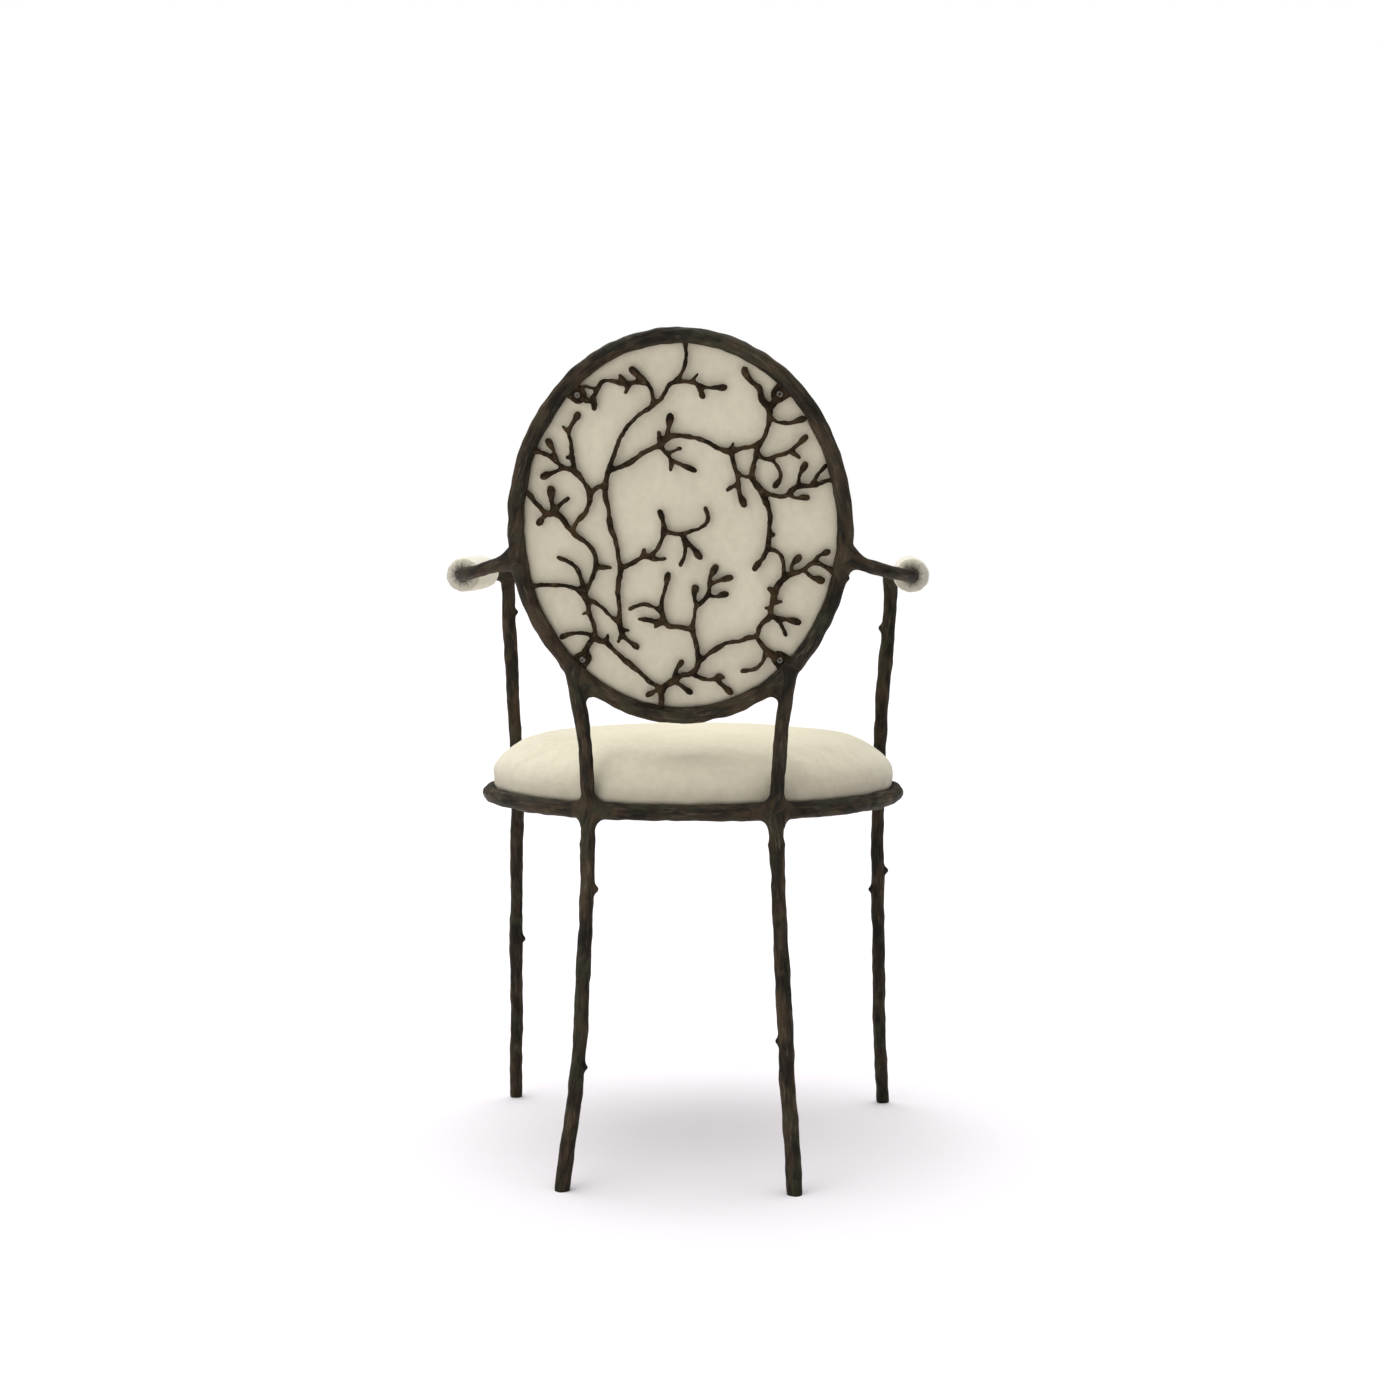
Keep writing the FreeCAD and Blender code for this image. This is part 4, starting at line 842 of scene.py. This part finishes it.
twig_lines = bpy.data.curves.new("twig_lines", "CURVE")
twig_lines.dimensions = "3D"
twig_lines.bevel_depth = TWIG_RADIUS
twig_lines.bevel_resolution = 3
twig_lines.resolution_u = 8
twig_lines.use_fill_caps = True
for route in sum(BRANCHES.values(), []):
    spots = [lug_spots.get(place[0]) or Vector(place) * OPENING_HALF / 100 for *place, _ in route]
    shares = [point[-1] / 100 for point in route]
    way = (spots[-1] - spots[-2]).normalized()
    if route[-1][0] in lug_spots:
        spots[-1] = spots[-1] - way * SCREW_ROOM
    elif shares[-1] > 1:
        shares[-1] *= BUD_SWELL
    for reach, share in BUD_END:
        spots.append(spots[len(route) - 1] + way * (TWIG_RADIUS * shares[len(route) - 1] * reach))
        shares.append(shares[len(route) - 1] * share)
    line = twig_lines.splines.new("BEZIER")
    line.radius_interpolation = "EASE"
    line.bezier_points.add(len(spots) - 1)
    for point, spot, share in zip(line.bezier_points, spots, shares):
        point.co = back_place(spot.x, spot.y, TWIG_OUT)
        point.radius = share
        point.handle_left_type = "AUTO"
        point.handle_right_type = "AUTO"
twig_holder = bpy.data.objects.new("twig_lines", twig_lines)
shape = bmesh.new()
twig_mesh = bpy.data.meshes.new_from_object(twig_holder)
shape.from_mesh(twig_mesh)
bpy.data.objects.remove(twig_holder)
bpy.data.curves.remove(twig_lines)
bpy.data.meshes.remove(twig_mesh)
for spot in lug_spots.values():
    outward = Vector((spot.x / OPENING_HALF.x ** 2, spot.y / OPENING_HALF.y ** 2)).normalized()
    sideways = Vector((-outward.y, outward.x))
    leaf = [spot + (outward * out + sideways * aside) / 1000 for out, aside in LUG_LEAF]
    front, rear = ([shape.verts.new(back_place(*corner, height)) for corner in leaf]
                   for height in LUG_HEIGHTS)
    shape.faces.new(front)
    shape.faces.new(rear)
    band(shape, front, rear)
branch_openwork = closed("branch_openwork", shape)
apply(branch_openwork, voxels(TWIG_GRAIN), grown(TWIG_FILLET), voxels(TWIG_GRAIN), grown(-TWIG_PARED),
      smoothed(3))
points = places(branch_openwork.data)
knots = 2 * cloudy(points * LARGE_KNOTS) + cloudy(points * SMALL_KNOTS)
move_to(branch_openwork.data, points + facing(branch_openwork.data) * (KNOT_HEIGHT * knots)[:, None])
keep_numbers(branch_openwork.data, "knots", knots)

twig_bronze, shader, start = new_finish("twig_bronze")
in_space = start.in_space()
raised = start.kept("knots")
patches = in_space.noise(66.0, 3.0, 0.55)
pits = in_space.noise(820.0, 3.0, 0.65)
brown = patches.between(0.36, 0.66).blend((0.0110, 0.0074, 0.0036), (0.0420, 0.0265, 0.0120))
# This mask lightens the tops of the knots: partly real wear, partly a painted highlight on the twigs
wear_and_highlight = raised.between(0.15, 1.2) * pits.between(0.42, 0.70)
feed(shader, Base_Color=(wear_and_highlight * 0.7).blend(brown, (0.140, 0.100, 0.052)), Metallic=0.1,
     Roughness=0.58 + (pits - 0.5) * 0.24 - wear_and_highlight * 0.12, Specular_IOR_Level=0.06,
     Normal=(pits + patches * 0.4).bump(0.5, 0.0009))
dress(branch_openwork, twig_bronze, "twig_metal", *BRANCHES)


# The back pad: a plywood board with a thin cloth panel towards the branches and a stuffed front. The front's
# cloth swells past the ring's inside and hides the board's edge.

back_front = -rearward
pad_half_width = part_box("back_panel")[1].x
# Measured in the leaning plane of the back
pad_half_height = 0.2022
# Insets from the pad's edge and distances in front of the ring's plane, in millimetres
BACK_LEVELS = [(60, 9.2), (-3.5, 9.6), (-7.6, 11), (-9, 14), (-9.2, 20), (-8.4, 27), (-5.6, 33.5), (0, 37.5),
               (8, 39), (26, 42), (60, 46), (100, 48.5), (140, 50), (165, 50.5)]
PANEL_LEVELS = [(165, 4.3), (120, 4.3), (70, 4.4), (30, 4.5), (10, 4.6), (3, 4.8), (-0.6, 5.2), (-1.9, 6.0),
                (-2.4, 7.2), (-2, 8.2), (2, 8.9), (165, 8.9)]
BACK_GRAIN = 0.004
BACK_HELD_BEHIND = 0.016
BACK_SWELLING = 0.004

back_cushion = oval_pad("back_cushion_cloth", back_centre, back_up, back_front,
                        pad_half_width, pad_half_height, BACK_LEVELS)
apply(back_cushion, voxels(BACK_GRAIN), smoothed(3))
depth = (places(back_cushion.data) - np.array(back_centre)) @ np.array(back_front)
stuffed(back_cushion, depth < BACK_HELD_BEHIND, BACK_SWELLING)
apply(back_cushion, smoothed(3), FINER)
dress(back_cushion, cream_cloth, "seat_cloth", "back_cushion")

back_panel = oval_pad("back_panel_cloth", back_centre, back_up, back_front,
                      pad_half_width, pad_half_height, PANEL_LEVELS)
apply(back_panel, FINER)
dress(back_panel, cream_cloth, "seat_cloth", "back_panel")

BACK_HEAD_HEIGHT = 0.0025
BACK_SCREW = ((0.4, -15.5), (1.7, -14), (2.0, -13.5), (2.0, 0), (3.5, 0), (3.5, 0.6), (3.35, 1.3),
              (3.0, 1.95), (2.6, 2.4), (2.2, 2.5), (1.75, 2.35, "hex"), (1.65, 0.2, "hex"), (0.2, 0.1))
back_screws = screw_set("back_screw_set", "back_screws", rearward, BACK_SCREW, BACK_HEAD_HEIGHT)
dulled_steel, shader, start = new_finish("dulled_steel")
in_space = start.in_space()
rubbed = in_space.noise(900.0, 3.0, 0.6)
grey = rubbed.between(0.35, 0.65).blend((0.12, 0.108, 0.096), (0.27, 0.25, 0.225))
feed(shader, Base_Color=grey, Metallic=0.6, Roughness=0.42 + rubbed * 0.2, Normal=rubbed.bump(0.15, 0.0002))
dress(back_screws, dulled_steel, "screw", "back_screws")


# The arm pads: stuffed sleeves of paler cloth round the rails. Their ends are gathered in by a thread and
# sink in a little round the rod.

pale_cloth, shader, start = new_finish("pale_cloth")
in_space = start.in_space()
nap = in_space.noise(1500.0, 3.0, 0.7)
brushed = in_space.noise(120.0, 4.0, 0.62)
shade = (brushed * 0.4 + nap * 0.6).between(0.34, 0.66)
# Painted shade: the cloth is darkened at the sleeve's ends, where the folds and the end's facing put it in
# shade
painted_end_shade = start.kept("painted_end_shade")
pale = shade.blend((0.640, 0.610, 0.512), (0.706, 0.676, 0.572))
feed(shader, Base_Color=(painted_end_shade * 0.55).blend(pale, (0.30, 0.29, 0.22)),
     Roughness=0.93 - brushed * 0.08, Sheen_Weight=0.22, Sheen_Roughness=0.55, Specular_IOR_Level=0.2,
     Normal=(nap * 0.7 + brushed * 0.6).bump(0.35, 0.0008))

# Folds of a gathered end: how many go round, their share and where they begin
GATHERS = ((10, 0.6, 0.3), (17, 0.4, 1.9))
# An end of a sleeve, from its hole round the rod outwards: radius and distance from the end in millimetres,
# and how strong the folds are. The groove behind the rim is the end's seam
SLEEVE_HOLE = 7.4
SLEEVE_END = ((SLEEVE_HOLE, 9, 0.0), (SLEEVE_HOLE, 5.0, 0.5), (8.6, 3.2, 1.0), (11.0, 1.4, 1.0),
              (13.4, 0.5, 1.0), (15.4, 0.9, 0.9), (17.4, 2.4, 0.75), (18.9, 4.4, 0.6), (19.3, 5.8, 0.5),
              (18.3, 7.0, 0.4), (19.4, 8.4, 0.4), (20.0, 11, 0.36), (20.2, 16, 0.26), (20.35, 26, 0.12),
              (20.45, 42, 0.03))
SLEEVE_MIDDLE_RADIUS = 20.5
SLEEVE_SIDES = 128
# Millimetres that a full fold moves the cloth, outwards and lengthwise, and that the thread draws it in
FOLD_DEPTH = 0.8
FOLD_SINK = 0.9
FOLD_DRAWN_IN = 0.3
# The folds of the front end begin elsewhere in their waves, by this angle
FRONT_TURN = 2.2
# Lumps of the stuffing in the sleeve's side, in millimetres: their height, and lengths that they repeat over
LUMP_HEIGHT = 0.45
LUMP_LENGTHS = (19, 31)
# Painted shade darkens the cloth at the sleeve's ends. It fades out up to a distance from the end
PAINTED_END_SHADE_REACH = 0.0085
PAINTED_END_SHADE_FADE = 0.004
# Corners of a bolster's solid that are this near its end make up the ring there
END_RING_DEPTH = 0.002


def sleeve_rows(length):
    """Rows of a sleeve of this length from its rear end to its front end."""
    middle = [(SLEEVE_MIDDLE_RADIUS, length * share, 0.0) for share in (0.3, 0.4, 0.5, 0.6, 0.7)]
    front = [(radius, length - along, pleat) for radius, along, pleat in reversed(SLEEVE_END)]
    return list(SLEEVE_END) + middle + front


def sleeve_corner(radius, along, pleat, turn, at_front):
    """Reach from the axis and place along it of a sleeve's corner, in millimetres."""
    seed = FRONT_TURN if at_front else 0.0
    fold = sum(share * math.sin(count * turn + shift + seed) for count, share, shift in GATHERS)
    reach = radius + pleat * (FOLD_DEPTH * fold - FOLD_DRAWN_IN) * min(1, (radius - SLEEVE_HOLE) / 6 + 0.1)
    on_side = max(0, radius - 15) / 5
    short, long = LUMP_LENGTHS
    lump = math.sin(along / short + 2 * turn) * math.sin(along / long - turn + seed)
    sink = pleat * FOLD_SINK * fold * (-1 if at_front else 1)
    return reach + LUMP_HEIGHT * on_side * lump, along + sink


def end_centre(corners, end):
    """Middle of the ring of corners at one end of a bolster."""
    ring = corners[np.abs(corners[:, 1] - end) < END_RING_DEPTH]
    middle = (ring.min(axis=0) + ring.max(axis=0)) / 2
    return Vector((middle[0], end, middle[2]))


for side in ("left", "right"):
    node = "arm_pad_" + side
    corners = places(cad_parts[node].data)
    rear = end_centre(corners, corners[:, 1].max())
    front = end_centre(corners, corners[:, 1].min())
    axis = (front - rear).normalized()
    length = (front - rear).length * 1000
    across = Vector((0, 0, 1)) - axis * axis.z
    across.normalize()
    shape = bmesh.new()
    rings = []
    for radius, along, pleat in sleeve_rows(length):
        ring = []
        for turn in turns(SLEEVE_SIDES):
            reach, place = sleeve_corner(radius, along, pleat, turn, along >= length / 2)
            aside = beside(axis, across, turn, reach / 1000)
            ring.append(shape.verts.new(rear + axis * (place / 1000) + aside))
        rings.append(ring)
    for low_ring, high_ring in zip(rings, rings[1:] + rings[:1]):
        band(shape, low_ring, high_ring)
    arm_pad = closed("arm_pad_cloth_" + side, shape)
    apply(arm_pad, FINER)
    along = (places(arm_pad.data) - np.array(rear)) @ np.array(axis)
    from_end = np.minimum(along, length / 1000 - along)
    # Painted shade at the sleeve's ends, darkest at the end
    keep_numbers(arm_pad.data, "painted_end_shade", np.clip((PAINTED_END_SHADE_REACH - from_end) / PAINTED_END_SHADE_FADE, 0, 1))
    dress(arm_pad, pale_cloth, "arm_cloth", node)


# The studio: a plain white floor, soft light from above and all round, and the camera where the photograph
# was taken from.

FLOOR_HALF = 30
shape = bmesh.new()
shape.faces.new([shape.verts.new((x * FLOOR_HALF, y * FLOOR_HALF, 0))
                 for x, y in ((-1, -1), (1, -1), (1, 1), (-1, 1))])
studio_floor = built("studio_floor", shape)
white_paper, shader, _ = new_finish("white_paper")
feed(shader, Base_Color=(0.80, 0.772, 0.797, 1), Roughness=0.95, Specular_IOR_Level=0.0)
studio_floor.data.materials.append(white_paper)

world = bpy.data.worlds.new("studio_light")
scene.world = world
world.use_nodes = True
start = Shade(world.node_tree)
seen = start.node("ShaderNodeLightPath", {}, {}, 0)
soft = start.node("ShaderNodeBackground", {}, {"Color": (1.0, 0.99, 0.975, 1), "Strength": 0.14})
white = start.node("ShaderNodeBackground", {}, {"Color": (1, 1, 1, 1), "Strength": 1.0})
both = start.node("ShaderNodeMixShader", {}, {0: seen, 1: soft, 2: white})
world.node_tree.links.new(both.socket, world.node_tree.nodes["World Output"].inputs["Surface"])
scene.view_settings.view_transform = "Standard"


def lamp(name, kind, place, aim, energy, **values):
    """Lamp that shines from a place towards a point."""
    light = bpy.data.lights.new(name, kind)
    light.energy = energy
    for key, value in values.items():
        setattr(light, key, value)
    holder = bpy.data.objects.new(name, light)
    holder.location = place
    holder.rotation_euler = (Vector(aim) - Vector(place)).to_track_quat("-Z", "Y").to_euler()
    scene.collection.objects.link(holder)


lamp("overhead_dome", "SUN", (0.35, -0.5, 3), (0, 0, 0), 4.3, angle=math.radians(90))
lamp("left_soft_box", "AREA", (1.8, 2.6, 1.8), (0, 0.1, 0.6), 29, size=2.4)

lens = bpy.data.cameras.new("photo_camera")
lens.lens = 59.0
lens.sensor_width = 36.0
camera = bpy.data.objects.new("photo_camera", lens)
camera.location = (-0.1627, 2.7107, 0.729)
# The camera looks this far down, and level it would look along this heading
PITCH = math.radians(3.94)
HEADING = (0.0606, -0.9981)
ahead = Vector((HEADING[0] * math.cos(PITCH), HEADING[1] * math.cos(PITCH), -math.sin(PITCH)))
camera.rotation_euler = ahead.to_track_quat("-Z", "Y").to_euler()
scene.collection.objects.link(camera)
scene.camera = camera
